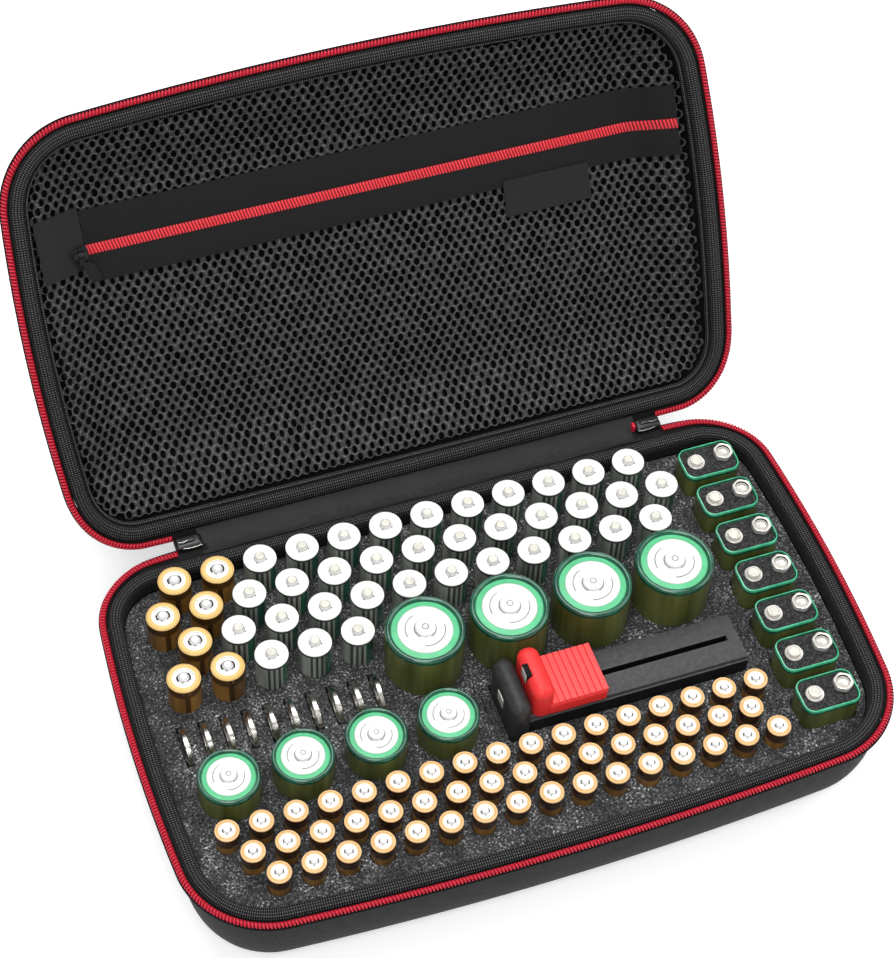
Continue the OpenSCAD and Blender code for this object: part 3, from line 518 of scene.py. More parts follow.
# A darker copy of the pale sleeve: painted shade under the cap and in thin stripes down the side facing the
# camera
M["body_shade"] = sleeve("sleeve_pale_painted_shade", (0.08, 0.09, 0.08), (0.02, 0.026, 0.02), 0.22, 0.1, 0.4)
M["white"] = cap_paint("cap_white", (0.74, 0.74, 0.73), (0.80, 0.80, 0.79), (0.84, 0.84, 0.84))
# Greys for painted shade on the caps, round their raised rings and nubs; the lighter grey also paints shade
# on the block terminals
M["shade"] = cap_paint("cap_painted_shade", (0.40, 0.40, 0.38), (0.46, 0.46, 0.44), (0.52, 0.52, 0.5))
M["line"] = cap_paint("cap_shade_line", (0.18, 0.18, 0.17), (0.22, 0.22, 0.21), (0.28, 0.28, 0.27))
M["cream"] = cap_paint("cap_cream", (0.62, 0.61, 0.53), (0.70, 0.69, 0.61), (0.76, 0.75, 0.68))
M["black"] = speckled("black_mark", grey(0.005), grey(0.008), grey(0.012), 500, 0.6, 0.1, 0.1)
M["steel"] = sleeve("bright_steel", (0.82, 0.80, 0.76), (0.62, 0.60, 0.56), 0.2, 1.0, 0.0)
M["nickel"] = sleeve("terminal_nickel", (0.80, 0.77, 0.72), (0.66, 0.63, 0.58), 0.3, 0.35, 0.3)
M["tester"] = speckled("tester_plastic", grey(0.048), grey(0.06), grey(0.072), 500, 0.5, 0.06, 0.25)
M["tester_head"] = speckled("tester_head", grey(0.022), grey(0.03), grey(0.038), 500, 0.45, 0.06, 0.3)
# A darker copy of the tester's plastic: painted shade on the bar's upright faces and underside
M["tester_front"] = speckled("tester_shade", grey(0.008), grey(0.011), grey(0.014), 500, 0.5, 0.06, 0.2)
M["slider_red"] = Shader("tester_red", (0.80, 0.035, 0.035), 0.4, shine=0.3).mat
M["slider_light"] = Shader("tester_red_pad", (0.93, 0.075, 0.075), 0.45, shine=0.3).mat
M["metal_black"] = Shader("zip_slider_black", grey(0.006), 0.35, Coat_Weight=0.15).mat
M["pull"] = Shader("pull_satin", grey(0.006), 0.5, shine=0.3).mat
M["block_top"] = speckled("block_top", grey(0.012), grey(0.035), grey(0.09), 900, 0.8, 0.4, 0.15)

# Shells, bindings, tapes and coils of both halves


def level(path, off, h):
    return np.column_stack([*moved(path, off), np.full(len(path), h)])


def shell_rings(path, depth, drop, inset, n=14):
    """Rings of one side of a shell, from the flange to the flat, as arrays of points."""
    belly = BELLY - (BELLY - BELLY_BACK) * hingeward(path) - inset
    return [level(path, -SIDE_IN - inset - belly + belly * cos(t), drop + (depth - inset - drop) * sin(t))
            for t in pi / 2 * np.arange(n + 1) / n]


def shell(name, body, node, depth, drop, place):
    """A moulded half: outside and lining as rings that meet at the flange, closed by two flats."""
    path = widened(outline(3.0), place)
    b = Build()
    outer = [level(path, -SIDE_IN, FLANGE_Z), level(path, -SIDE_IN, (FLANGE_Z + drop) / 2)]
    outer += shell_rings(path, depth, drop, 0)
    inner = [level(path, -FLANGE_IN, FLANGE_Z), level(path, -FLANGE_IN, FLANGE_DEEP),
             level(path, -SIDE_IN - WALL, FLANGE_DEEP + 3)]
    inner += shell_rings(path, depth, drop, WALL)
    rings = inner[::-1] + outer
    n = len(path)
    u = along(path, True)
    verts = np.vstack(rings)
    faces, cells = grid_faces(len(rings), n, False, True, place is in_lid)
    uv = [[(u[j], i * 3.0), (u[j], i * 3.0 + 3), (u[j + 1], i * 3.0 + 3), (u[j + 1], i * 3.0)]
          for i, j in cells]
    mats = [M["lining"] if i < len(inner) else M["shell"] for i, _ in cells]
    b.add(verts, faces, mats, uv)
    first, last = list(range(n)), list(range(len(verts) - n, len(verts)))
    b.cover(len(verts), [first, last[::-1]] if place is in_base else [first[::-1], last], M["shell"])
    b.piece(name, node, "shell_fabric", 50, body, place)


shell("base_shell_cover", "case_base", "base_shell", BASE_H, 16.0, in_base)
shell("lid_shell_cover", "lid", "lid_shell", LID_H, 12.0, in_lid)


def rounded_section(off0, off1, h0, h1, n=10, power=2.6):
    """A soft closed section between two offsets and two heights."""
    a = pi * np.arange(2 * n) / n
    c, s = (np.sign(q) * abs(q) ** (2 / power) for q in (np.cos(a), np.sin(a)))
    return np.column_stack([(off0 + off1) / 2 + (off1 - off0) / 2 * c, (h0 + h1) / 2 + (h1 - h0) / 2 * s])


def binding(name, body, node, place):
    b = Build()
    sweep(b, widened(outline(2.0), place), rounded_section(-8.4, -2.4, 0.3, 5.2), M["binding"],
          closed=True, turn=place is in_base)
    b.piece(name, node, "ribbed_binding", 60, body, place)


binding("base_binding_roll", "case_base", "base_binding", in_base)
binding("lid_binding_roll", "lid", "lid_binding", in_lid)

# Coil and tape of the case's zip: their paths end ZIP_PAST nearer to the middle than ZIP_END and STRIP_HALF
TOOTH_PITCH, WIRE, COIL_R, COIL_AT, ZIP_PAST = 1.5, 0.4, (1.05, 0.8), (0.15, 1.3), 1.2
TAPE = [(-1.9, 2.4), (1.9, 2.3), (1.9, 3.0), (-0.3, 3.1), (-0.95, 11), (-1.75, 11), (-1.75, 3.4)]


def helix(path, stray, per_turn=10):
    """Points of a coil wound round the line of the zip."""
    s = along(path)
    t = np.linspace(0, s[-1], int(s[-1] / TOOTH_PITCH) * per_turn)
    base = np.column_stack([np.interp(t, s, path[:, k]) for k in range(4)])
    phase = 2 * pi * t / TOOTH_PITCH
    off = COIL_AT[0] + np.interp(t, s, near_hinge(path) * stray) + COIL_R[0] * np.cos(phase)
    return np.column_stack([*moved(base, off), COIL_AT[1] + COIL_R[1] * np.sin(phase)])


def zip_half(name, body, place, stray, tape_stray):
    path = widened(zip_path(1.0, ZIP_END - ZIP_PAST), place)
    tape_path = widened(zip_path(1.0, STRIP_HALF - ZIP_PAST), place)
    turn = place is in_base
    b = Build()
    # The core cord between the turns, in the darker red of painted shade
    core = rounded_section(-1.35, 0.9, 0.7, 2.1, 4, 2.0)
    sweep(b, path, core, M["red_core"], caps=True, turn=turn, stray=stray)
    tube(b, helix(path, stray), WIRE, M["red"], 5)
    b.piece(name + "_coil_teeth", name + "_zip_coil", "red_coil", 80, body, place)
    b = Build()
    sweep(b, tape_path, TAPE, M["tape"], caps=True, turn=turn, stray=tape_stray)
    b.piece(name + "_zip_tape_cloth", name + "_zip_tape", "black_fabric", 40, body, place)


zip_half("base", "case_base", in_base, BASE_STRAY, BASE_STRAY + TAPE_OUT)
zip_half("lid", "lid", in_lid, LID_STRAY, LID_STRAY)

# Inner piping of the lid

PIPING = [(-9.65 + 0.8 * cos(t), 4.6 + 1.3 * sin(t)) for t in np.arange(10) * pi / 5]
b = Build()
sweep(b, widened(outline(2.0), in_lid), PIPING, M["piping"], closed=True)
b.piece("lid_piping_cord", "lid_piping", "black_fabric", 80, "lid", in_lid)

# The knitted mesh of the lid

MESH_RIM, MESH_DEPTH, MESH_EDGE, MESH_SLOPE, MESH_END_SLOPE = 8.6, 21.6, 9.05, 27.0, 33
RIM_X, RIM_Y = HALF_W - MESH_EDGE, BACK_Y - MESH_EDGE
POCKET_Y, BAND_X0, BAND_X1, COIL_HALF = -30.0, -126.0, 147.0, 2.2


def side_slope(x):
    return ease((RIM_X - 1.5 - np.abs(x)) / MESH_SLOPE)


def mesh_h(x, y):
    """Height of the mesh: it slopes down from the rim and lies level over the basin."""
    end_slope = ease(np.minimum(RIM_Y + LID_BACK - 1 - y, RIM_Y - 1 + y) / MESH_END_SLOPE)
    return MESH_RIM + (MESH_DEPTH - MESH_RIM) * side_slope(x) * end_slope


LID_PLAN = widened(outline(4.0), in_lid)


def inside(x, y, off):
    """Whether a plan point lies inside the lid's outline moved by off."""
    px, py = moved(LID_PLAN, off)
    hit = False
    for i in range(len(px)):
        j = i - 1
        if (py[i] > y) != (py[j] > y) and x < (px[j] - px[i]) * (y - py[i]) / (py[j] - py[i]) + px[i]:
            hit = not hit
    return hit


# Pitch of the knit's cells and half sizes of their holes
KNIT_X, KNIT_Y = 4.35, 3.35
HOLE_X, HOLE_Y = 1.15, 1.6


def knit_cell(a):
    """Points where rays at the angles a meet the border of a hexagonal cell."""
    ray = np.column_stack([np.cos(a), np.sin(a)])
    x, y = np.abs(ray.T)
    slanted = 2 * KNIT_Y / (x * 2 * KNIT_Y / KNIT_X + 3 * y)
    return ray * np.minimum(KNIT_X / 2 / np.maximum(x, 1e-9), slanted)[:, None]


def knit():
    """Hexagonal cells, each with an oval hole, laid over the basin."""
    a = np.arange(12) * pi / 6
    edge = knit_cell(a)
    hole = np.column_stack([HOLE_X * np.cos(a), HOLE_Y * np.sin(a)])
    verts, faces, uv = [], [], []
    rows = int(2 * (RIM_Y + LID_BACK) / KNIT_Y) + 4
    cols = int(2 * RIM_X / KNIT_X) + 2
    for r in range(-rows // 2, rows // 2 + 1):
        for c in range(-cols // 2, cols // 2 + 1):
            cx, cy = (c + 0.5 * (r % 2)) * KNIT_X, r * KNIT_Y
            if not inside(cx, cy, -MESH_EDGE - 2.2):
                continue
            n0 = len(verts)
            drift = rng.normal(0, 0.13, 2)
            grow = 1 + np.clip(rng.normal(0, 0.09), -0.2, 0.16)
            verts += [(cx + x, cy + y, 0.0) for x, y in edge]
            verts += [(cx + drift[0] + grow * x, cy + drift[1] + grow * y, 0.12) for x, y in hole]
            for k in range(12):
                j = (k + 1) % 12
                faces.append((n0 + k, n0 + j, n0 + 12 + j, n0 + 12 + k))
                uv.append(((0, 0), (0, 0), (1, 1), (1, 1)))
    verts = np.array(verts)
    verts[:, 2] += mesh_h(verts[:, 0], verts[:, 1]) + 0.25
    b = Build()
    b.add(verts, faces, M["knit"], uv)
    b.piece("mesh_knit", "mesh_panel", "mesh", 60, "lid", in_lid)


knit()

# A near-black sheet just behind the mesh: painted shade for the inside of the pocket, seen through the holes
b = Build()
xs, ys = np.linspace(-1, 1, 41), np.linspace(-1, 1, 27)
pts = np.array([(u * (RIM_X - 12), LID_BACK / 2 + v * (RIM_Y + LID_BACK / 2 - 8), 0) for u in xs for v in ys])
pts[:, 2] = mesh_h(pts[:, 0], pts[:, 1]) + 1.6
faces, _ = grid_faces(len(xs), len(ys))
b.add(pts, faces, M["knit_back_shade"])
b.piece("pocket_shade_sheet", None, "mesh", 60, "lid", in_lid)


# How far what lies on the mesh stays off it, and how much more on the mesh's slopes
LAID_OFF, LAID_SLACK = 0.4, 2.8


def laid_line(x0, x1, step=2.5):
    """Points along x, and the heights at which a strip of cloth lies on the mesh there."""
    xs = np.linspace(x0, x1, int((x1 - x0) / step) + 2)
    e = side_slope(xs)
    return xs, mesh_h(xs, np.full(len(xs), POCKET_Y)) - LAID_OFF - LAID_SLACK * e * (1 - e)


def strip(name, x0, x1, y0, y1, thick, mat, node, crown=0.25, ny=7):
    """A strip of cloth along the pocket's zip, with soft edges."""
    xs, h = laid_line(x0, x1)
    vs = np.linspace(0, 1, ny)
    ys = y0 + (y1 - y0) * vs
    top = [(x, y, z - thick + crown * (2 * v - 1) ** 4) for x, z in zip(xs, h) for v, y in zip(vs, ys)]
    bottom = [(x, y, z) for x, z in zip(xs, h) for y in ys]
    b = Build()
    two_skins(b, top, bottom, xs, ys, mat, inward=True)
    b.piece(name, node, "black_fabric", 50, "lid", in_lid)


strip("pocket_band_upper", BAND_X0, BAND_X1, POCKET_Y - COIL_HALF - 15.4, POCKET_Y - COIL_HALF - 0.1, 0.8,
      M["band"], "pocket_band_front")
strip("pocket_band_lower", BAND_X0, BAND_X1, POCKET_Y + COIL_HALF + 0.1, POCKET_Y + COIL_HALF + 12.8, 0.8,
      M["band"], "pocket_band_rear")
strip("pocket_patch", -147.5, BAND_X0 - 0.4, -49.6, -22, 1.5, M["patch"], "pocket_end_patch", 0.5)


def pocket_teeth():
    """Closed zip: a row of slanted rounded bars across the line."""
    b = Build()
    xs, h = laid_line(BAND_X0, BAND_X1, 1.0)
    ribbon = [(x, POCKET_Y + across, z - 0.7 + deep) for x, z in zip(xs, h)
              for across, deep in ((-COIL_HALF, 0.5), (COIL_HALF, 0.5), (COIL_HALF, 0), (-COIL_HALF, 0))]
    faces, _ = grid_faces(len(xs), 4, False, True, True)
    b.add(ribbon, faces, M["red_dark"])
    pitch, slant = 1.45, 0.55
    for x in np.arange(BAND_X0 + 0.8, BAND_X1 - 0.8, pitch):
        z = float(np.interp(x, xs, h)) - 0.75
        row = [(x - slant + 2 * slant * t, POCKET_Y - COIL_HALF + 2 * COIL_HALF * t,
                z - 0.5 * sin(pi * t) ** 0.5) for t in np.linspace(0.02, 0.98, 7)]
        tube(b, row, 0.5, M["red_light"])
    b.piece("pocket_zip_teeth", "pocket_zip_coil", "red_coil", 60, "lid", in_lid)


pocket_teeth()

# Fabric hinge between the two rims: it starts inside the base's flange, sags and ends inside the lid's

HINGE_IN, HINGE_SAG, HINGE_HALF = SIDE_IN - 0.3, 1.8, STRIP_HALF + 2.3


def hinge_cloth():
    low = np.array([BACK_Y - HINGE_IN, BASE_H - FLANGE_Z - 7])
    knee = np.array([BACK_Y - HINGE_IN, BASE_H - FLANGE_Z + 1.2])
    lid_y = BACK_Y + LID_BACK - HINGE_IN
    rim, high = in_lid([(0, lid_y, FLANGE_Z - 1.2), (0, lid_y, FLANGE_Z + 7)])[:, 1:]
    prof = [low]
    for t in np.arange(13) / 12:
        prof.append(knee * (1 - t) + rim * t + np.array([0, -HINGE_SAG * 4 * t * (1 - t)]))
    prof = np.array(prof + [high])
    d = np.gradient(prof, axis=0)
    d /= np.linalg.norm(d, axis=1)[:, None]
    out = np.column_stack([d[:, 1], -d[:, 0]])
    xs = np.linspace(-HINGE_HALF, HINGE_HALF, 97)
    top, under = [], []
    for x in xs:
        for k, (p, q) in enumerate(zip(prof, out)):
            t = k / (len(prof) - 1)
            crease = (0.35 * sin(x * 0.11 + 3 * t) + 0.2 * sin(x * 0.31 + 5 * t)) * sin(pi * t)
            top.append((x, p[0] - q[0] * crease, p[1] - q[1] * crease))
            under.append((x, p[0] + q[0], p[1] + q[1]))
    b = Build()
    two_skins(b, top, under, xs, np.arange(len(prof)) * 2.0, M["satin"])
    cloth = b.piece("hinge_cloth", "hinge_strip", "hinge_fabric", 60, None)
    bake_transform(cloth)


hinge_cloth()

# Cells

# Each row: first place along the grid, count, and how many of them are gold ones
AA_PITCH, AA_ROW, AA_X, AA_Y = 19.52, 16.6, -143.05, 78.0
AA_ROWS = [(1, 12, 2), (0.5, 13, 2), (1, 12, 1), (0.5, 5, 2)]
AAA_PITCH, AAA_ROW, AAA_X, AAA_Y = 14.87, 12.48, -150.5, -44.55
AAA_ROWS = [(1, 17), (1.5, 16), (2, 16)]
# Pencil and round cells are as wide as their solids up to FOOT_TOP, and wider from SHOULDER on
FOOT_TOP, SHOULDER = 32.7, 32.9


def raised(r, top, rows):
    """Rows of a cell's head. Each has its radius, as a share of r or in brackets as what is taken off r,
    its height from the top, and a material where that changes."""
    out = []
    for share, z, *mat in rows:
        radius = r - share[0] if isinstance(share, tuple) else share * r
        out.append((radius, top + z, M[mat[0]] if mat else out[-1][2]))
    return out


def sectors(*rows):
    return [(row, start, end, M[key]) for row, start, end, key in rows]


# Rows and sectors in shade and line paint shade on the caps, in arcs round their rings and nubs; white
# sectors on these rows leave the lit side white. Rows in gold_shade and body_shade paint the shade under the
# cap, and their sectors on row 3 are stripes of painted shade down the side facing the camera.
GOLD_HEAD = [
    (1, -6.5, "gold_shade"), (1, -1.9, "gold_ring"), ((0.12,), -1.45), ((0.45,), -1.25, "gold_line"),
    ((0.75,), -1.25, "gold_ring"), (0.68, -1.2, "white"), (0.62, -1.2), (0.58, -1.2), (0.43, -1.2),
    (0.38, -1.2, "black"), (0.335, -1.2, "shade"), (0.31, -1.1, "white"), (0.29, -0.2), (0.26, 0, "line"),
    (0.23, 0, "white"), (0, 0)]
GOLD_MARKS = sectors((3, 262, 280, "gold_shade"), (10, 0, 150, "shade"), (12, 0, 45, "black"),
                     (12, 320, 360, "black"), (12, 150, 210, "black"), (13, 212, 238, "white"),
                     (13, 262, 300, "white"))
PALE_HEAD = [
    (1, -3.0, "body_shade"), (1, -1.6, "white"), ((0.08,), -1.3), ((0.3,), -1.2), (0.44, -1.2),
    (0.385, -1.2), (0.35, -1.2, "black"), (0.33, -1.15, "white"), (0.32, -0.9), (0.315, 0.3),
    (0.29, 0.55, "black"), (0.27, 0.58, "cream"), (0.15, 0.6), (0, 0.6)]
PALE_MARKS = sectors((3, 236, 241, "body_shade"), (3, 256, 263, "body_shade"), (3, 272, 276, "body_shade"),
                     (3, 292, 325, "dark_green"), (8, 220, 234, "black"), (8, 316, 330, "black"),
                     (14, 60, 100, "white"))
SMALL_HEAD = [
    (1, -7.5, "collar"), (1, -1.7, "orange_ring"), ((0.1,), -1.3), ((0.4,), -1.15),
    (0.84, -1.1, "gold_line"), (0.79, -1.1, "orange_ring"), (0.66, -1.1, "white"), (0.38, -1.1),
    (0.31, -1.1, "shade"), (0.28, -1.0, "white"), (0.26, -0.1), (0.21, 0.1), (0, 0.1)]
SMALL_MARKS = sectors((9, 140, 205, "black"), (9, 320, 360, "black"), (9, 0, 25, "black"),
                      (9, 245, 262, "black"), (10, 215, 300, "white"))
BEAD_HEAD = [
    (0.865, -3.1, "mint"), (0.855, -2.9), (0.71, -2.5, "shade"), (0.695, -2.4, "white"),
    (0.52, -2.2, "line"), (0.495, -2.05, "white"), (0.36, -1.9), (0.29, -1.85, "line"),
    (0.265, -1.7, "white"), (0.26, -0.5), (0.23, -0.08), (0.09, 0, "line"), (0.065, 0, "white"), (0, 0)]


def pencil_cell(build, at, gold):
    """Sectors are in degrees; about 250 degrees points down the picture."""
    r, foot_r, top = 7.4, 7.1, 51.0
    turn = radians(rng.uniform(-9, 9))
    body = M["gold" if gold else "dark_body"]
    foot = [(0, 0, body), (foot_r, 0.1, body), (foot_r, FOOT_TOP, body), (r, SHOULDER, body)]
    lathe(build, at, foot + raised(r, top, GOLD_HEAD if gold else PALE_HEAD), 40, turn,
          GOLD_MARKS if gold else PALE_MARKS)


def small_pencil_cell(build, at):
    r, top = 5.25, 44.5
    turn = radians(rng.uniform(-9, 9))
    foot = [(0, 0, M["olive"]), (r, 0.1, M["gold"])]
    lathe(build, at, foot + raised(r, top, SMALL_HEAD), 36, turn, SMALL_MARKS)


for row, (first, count, golds) in enumerate(AA_ROWS):
    spots = [(AA_X + AA_PITCH * (first + k), AA_Y - AA_ROW * row, FLOOR_Z) for k in range(count)]
    for kind, sleeve_slot, part in (("gold", "gold_sleeve", spots[:golds]),
                                    ("white", "pale_sleeve", spots[golds:])):
        b = Build()
        for at in part:
            pencil_cell(b, at, kind == "gold")
        b.piece(f"aa_{kind}_cells_{row + 1}", f"aa_{kind}_row_{row + 1}", sleeve_slot, 35)
for row, (first, count) in enumerate(AAA_ROWS):
    b = Build()
    for k in range(count):
        small_pencil_cell(b, (AAA_X + AAA_PITCH * (first + k), AAA_Y - AAA_ROW * row, FLOOR_Z))
    b.piece(f"aaa_cells_{row + 1}", f"aaa_row_{row + 1}", "orange_sleeve", 35)


def round_cell(at, r, top):
    """A large or medium round cell: olive below, dark green above, with a rounded bead."""
    olive, green = M["olive"], M["dark_green"]
    wide, bead = 1.022 * r, 0.076 * r
    prof = [(0, 0, olive), (r, 0.1, olive), (r, FOOT_TOP, olive), (wide, SHOULDER, olive),
            (wide, top - 4.3, green), (wide, top - 2.9, green)]
    for t in np.arange(9) * pi / 8:
        prof.append((wide - bead + bead * cos(t), top - 3 + 1.3 * sin(t), green))
    prof += raised(r, top, BEAD_HEAD)
    # The rows at outer and inner are grey rings of painted shade round the raised ring and round the nub; the
    # white sectors take them out where the light falls
    outer, inner = len(prof) - 10, len(prof) - 7
    b = Build()
    lathe(b, at, prof, 72, 0.0, sectors((outer, 0, 110, "white"), (outer, 190, 250, "white"),
                                        (inner, 20, 130, "white"), (inner, 225, 285, "white")))
    return b


def plate(w, d, r, n=5):
    """Points round a rectangle with true corner arcs, anticlockwise."""
    rows = []
    for k, (sx, sy) in enumerate(((1, 1), (-1, 1), (-1, -1), (1, -1))):
        for j in range(n + 1):
            t = pi / 2 * (k + j / n)
            rows.append((sx * (w / 2 - r) + r * cos(t), sy * (d / 2 - r) + r * sin(t)))
    return np.array(rows)


def disc(r, n=24, sides=0):
    """Points round a circle, or round a polygon with that many sides across the flats of 2 r."""
    a = (np.arange(n) + 0.5) * 2 * pi / n
    reach = np.full(n, float(r))
    if sides:
        step = 2 * pi / sides
        reach = r / np.cos((a + step / 2) % step - step / 2)
    return np.column_stack([reach * np.cos(a), reach * np.sin(a)])


def stack(build, at, rows):
    """Skins closed loops of equal length, given as (loop, z, material), and caps both ends."""
    n = len(rows[0][0])
    verts = np.vstack([np.column_stack([at[0] + loop[:, 0], at[1] + loop[:, 1], np.full(n, at[2] + z)])
                       for loop, z, _ in rows])
    faces, cells = grid_faces(len(rows), n, False, True, True)
    faces += [tuple(range(n))[::-1], tuple((len(rows) - 1) * n + j for j in range(n))]
    build.add(verts, faces, [rows[i][2] for i, _ in cells] + [rows[0][2], rows[-1][2]])


def block(at):
    """A block cell: olive walls, green top edge, bright raised rim, dark plate and two terminals."""
    w, d, r, top = 26.5, 17.5, 4.8, 45.2
    olive, green, mint = M["olive"], M["dark_green"], M["mint_edge"]
    nickel, black, terminal_shade = M["nickel"], M["black"], M["shade"]

    def inset(by):
        return plate(w - 2 * by, d - 2 * by, r - by)

    b = Build()
    stack(b, at, [(inset(0), 0, olive), (inset(0), top - 2.0, green), (inset(0), top - 0.5, mint),
                  (inset(0), top + 0.2, mint), (plate(w - 0.5, d - 0.5, r - 0.2), top + 0.75, mint),
                  (plate(w - 1.5, d - 1.5, r - 0.7), top + 0.8, green), (inset(1.1), top + 0.3, green),
                  (plate(w - 2.5, d - 2.5, r - 1.2), top, M["block_top"])])
    # The grey rows of the terminals are painted shade: the foot of the stud's post, the inner lip of its cup,
    # the outer walls of the hexagon and the bottom of its socket
    snap = (at[0] - 6.1, at[1] + 0.3, at[2] + top)
    stack(b, snap, [(disc(4.0), 0, nickel), (disc(4.1), 0.5, nickel), (disc(3.8), 0.8, nickel),
                    (disc(2.9), 0.7, terminal_shade), (disc(2.7), 1.0, nickel), (disc(3.0), 2.3, nickel),
                    (disc(2.8), 2.6, nickel), (disc(2.2), 2.6, terminal_shade), (disc(2.0), 2.4, M["cream"])])
    cup = (at[0] + 7.6, at[1] + 1.3, at[2] + top)
    stack(b, cup, [(disc(4.0, sides=6), 0, terminal_shade), (disc(4.1, sides=6), 2.5, nickel),
                   (disc(3.8, sides=6), 2.7, nickel), (disc(3.15), 2.6, black), (disc(3.0), 1.7, nickel),
                   (disc(2.6), 0.9, terminal_shade), (disc(2.3), 0.7, nickel)])
    return b


def soft_box(build, lo, hi, r, mat, n=3, floor=None):
    """A box with rounded edges; below `floor` it is cut flat."""
    lo, hi = np.array(lo, float), np.array(hi, float)
    if floor is not None:
        lo[2] = floor - r
    mid, half = (lo + hi) / 2, (hi - lo) / 2
    r = min(r, *(half - 0.01))
    bend = r * np.tan(np.arange(n + 1) * pi / 4 / n)
    marks = [np.concatenate([-(h - r) - bend[::-1], (h - r) + bend]) for h in half]
    seen, verts, faces = {}, [], []

    def point(q):
        key = tuple(np.round(q, 5))
        if key not in seen:
            core = np.clip(q, r - half, half - r)
            d = q - core
            out = mid + core + r * d / max(np.linalg.norm(d), 1e-9)
            seen[key] = len(verts)
            verts.append(out)
        return seen[key]

    for axis in range(3):
        u, v = (axis + 1) % 3, (axis + 2) % 3
        for side in (-1, 1):
            for i in range(2 * n + 1):
                for j in range(2 * n + 1):
                    quad = []
                    for a, c in ((i, j), (i + 1, j), (i + 1, j + 1), (i, j + 1)):
                        q = np.zeros(3)
                        q[axis], q[u], q[v] = side * half[axis], marks[u][a], marks[v][c]
                        quad.append(point(q))
                    faces.append(quad if side > 0 else quad[::-1])
    verts = np.array(verts)
    if floor is not None:
        verts[:, 2] = np.maximum(verts[:, 2], floor)
    build.add(verts, faces, mat)


def along_x(build, x0, x1, section, mats):
    """A prism along X from a closed section of (y, z) points, one material for each side."""
    n = len(section)
    verts = [(x, y, z) for x in (x0, x1) for y, z in section]
    faces = [(j, (j + 1) % n, n + (j + 1) % n, n + j) for j in range(n)]
    ends = [tuple(range(n))[::-1], tuple(range(n, 2 * n))]
    build.add(verts, faces + ends, mats + [mats[0], mats[0]])


# Places of the groups: first one, then the pitch between neighbours
LARGE_X, LARGE_Y, LARGE_PITCH = -29.29, 14.6, 38.73
MEDIUM_X, MEDIUM_Y, MEDIUM_PITCH = -128.3, -22.7, 32.3
BLOCK_X, BLOCK_Y, BLOCK_PITCH = 128.65, 70.48, 21.96

for k in range(4):
    round_cell((LARGE_X + LARGE_PITCH * k, LARGE_Y, FLOOR_Z), 17.1, 60.5).piece(
        f"large_cell_{k + 1}", f"d_cell_{k + 1}", "green_sleeve", 35)
    round_cell((MEDIUM_X + MEDIUM_PITCH * k, MEDIUM_Y, FLOOR_Z), 13.1, 50.0).piece(
        f"medium_cell_{k + 1}", f"c_cell_{k + 1}", "green_sleeve", 35)

for k in range(7):
    block((BLOCK_X, BLOCK_Y - BLOCK_PITCH * k, FLOOR_Z)).piece(
        f"block_cell_case_{k + 1}", f"block_cell_{k + 1}", "block_case", 35)

# Battery tester

TESTER_Y, TESTER_TOP, TESTER_X1, SLOT_X1, SLOT_HALF, SLOT_DEEP = -20.9, 46.5, 104.0, 99.0, 1.3, 6
HEAD_X0, HEAD_X1, HEAD_TOP, HEAD_HALF, FINGER_X0, SLIDE_HALF = -7.0, 2.5, 59.0, 15, 2.8, 12.6


def tester():
    """The bar with its slot and its sloped edges, the head, the head's contact and the foam beside it."""
    y, z = TESTER_Y, TESTER_TOP
    edge = [(y - 12.4, FLOOR_Z), (y - 12.4, z - 2.0), (y - 11.7, z - 1.8), (y - 11.4, z - 0.2),
            (y - 11.1, z)]
    section = edge[::-1] + [(2 * y - a, c) for a, c in edge]
    slot = [(y + SLOT_HALF, z), (y + SLOT_HALF, z - SLOT_DEEP), (y - SLOT_HALF, z - SLOT_DEEP),
            (y - SLOT_HALF, z)]
    # The front face, the underside and the back face take the darker copy of the plastic: painted shade on
    # faces turned from the light
    mats = [M["tester"]] * 3 + [M["tester_front"]] * 3 + [M["tester"]] * 4
    b = Build()
    # The slot's walls and floor are black: painted shade inside the narrow slot
    along_x(b, HEAD_X1 - 1, SLOT_X1, section + slot, mats + [M["black"]] * 3 + [M["tester"]])
    along_x(b, SLOT_X1, TESTER_X1, section, mats)
    soft_box(b, (HEAD_X0, y - HEAD_HALF, 0), (HEAD_X1, y + HEAD_HALF, HEAD_TOP), 4.6, M["tester_head"], 6,
             FLOOR_Z)
    b.piece("tester_case", "tester_body", "tester_plastic", 40)
    b = Build()
    soft_box(b, (HEAD_X0 - 0.35, y - 3, z - 1), (HEAD_X0 + 0.5, y + 3, z + 5.5), 0.2, M["nickel"], 2)
    b.piece("tester_head_contact", "tester_contact", "contact_metal", 40)
    b = Build()
    soft_box(b, (HEAD_X0 - 4.4, y - HEAD_HALF - 0.1, FOAM_TOP - 8),
             (HEAD_X0 - 0.1, y + HEAD_HALF + 0.1, FOAM_TOP - 0.02), 0.1, M["foam"], 1)
    b.piece("foam_by_tester", None, "foam", 30)


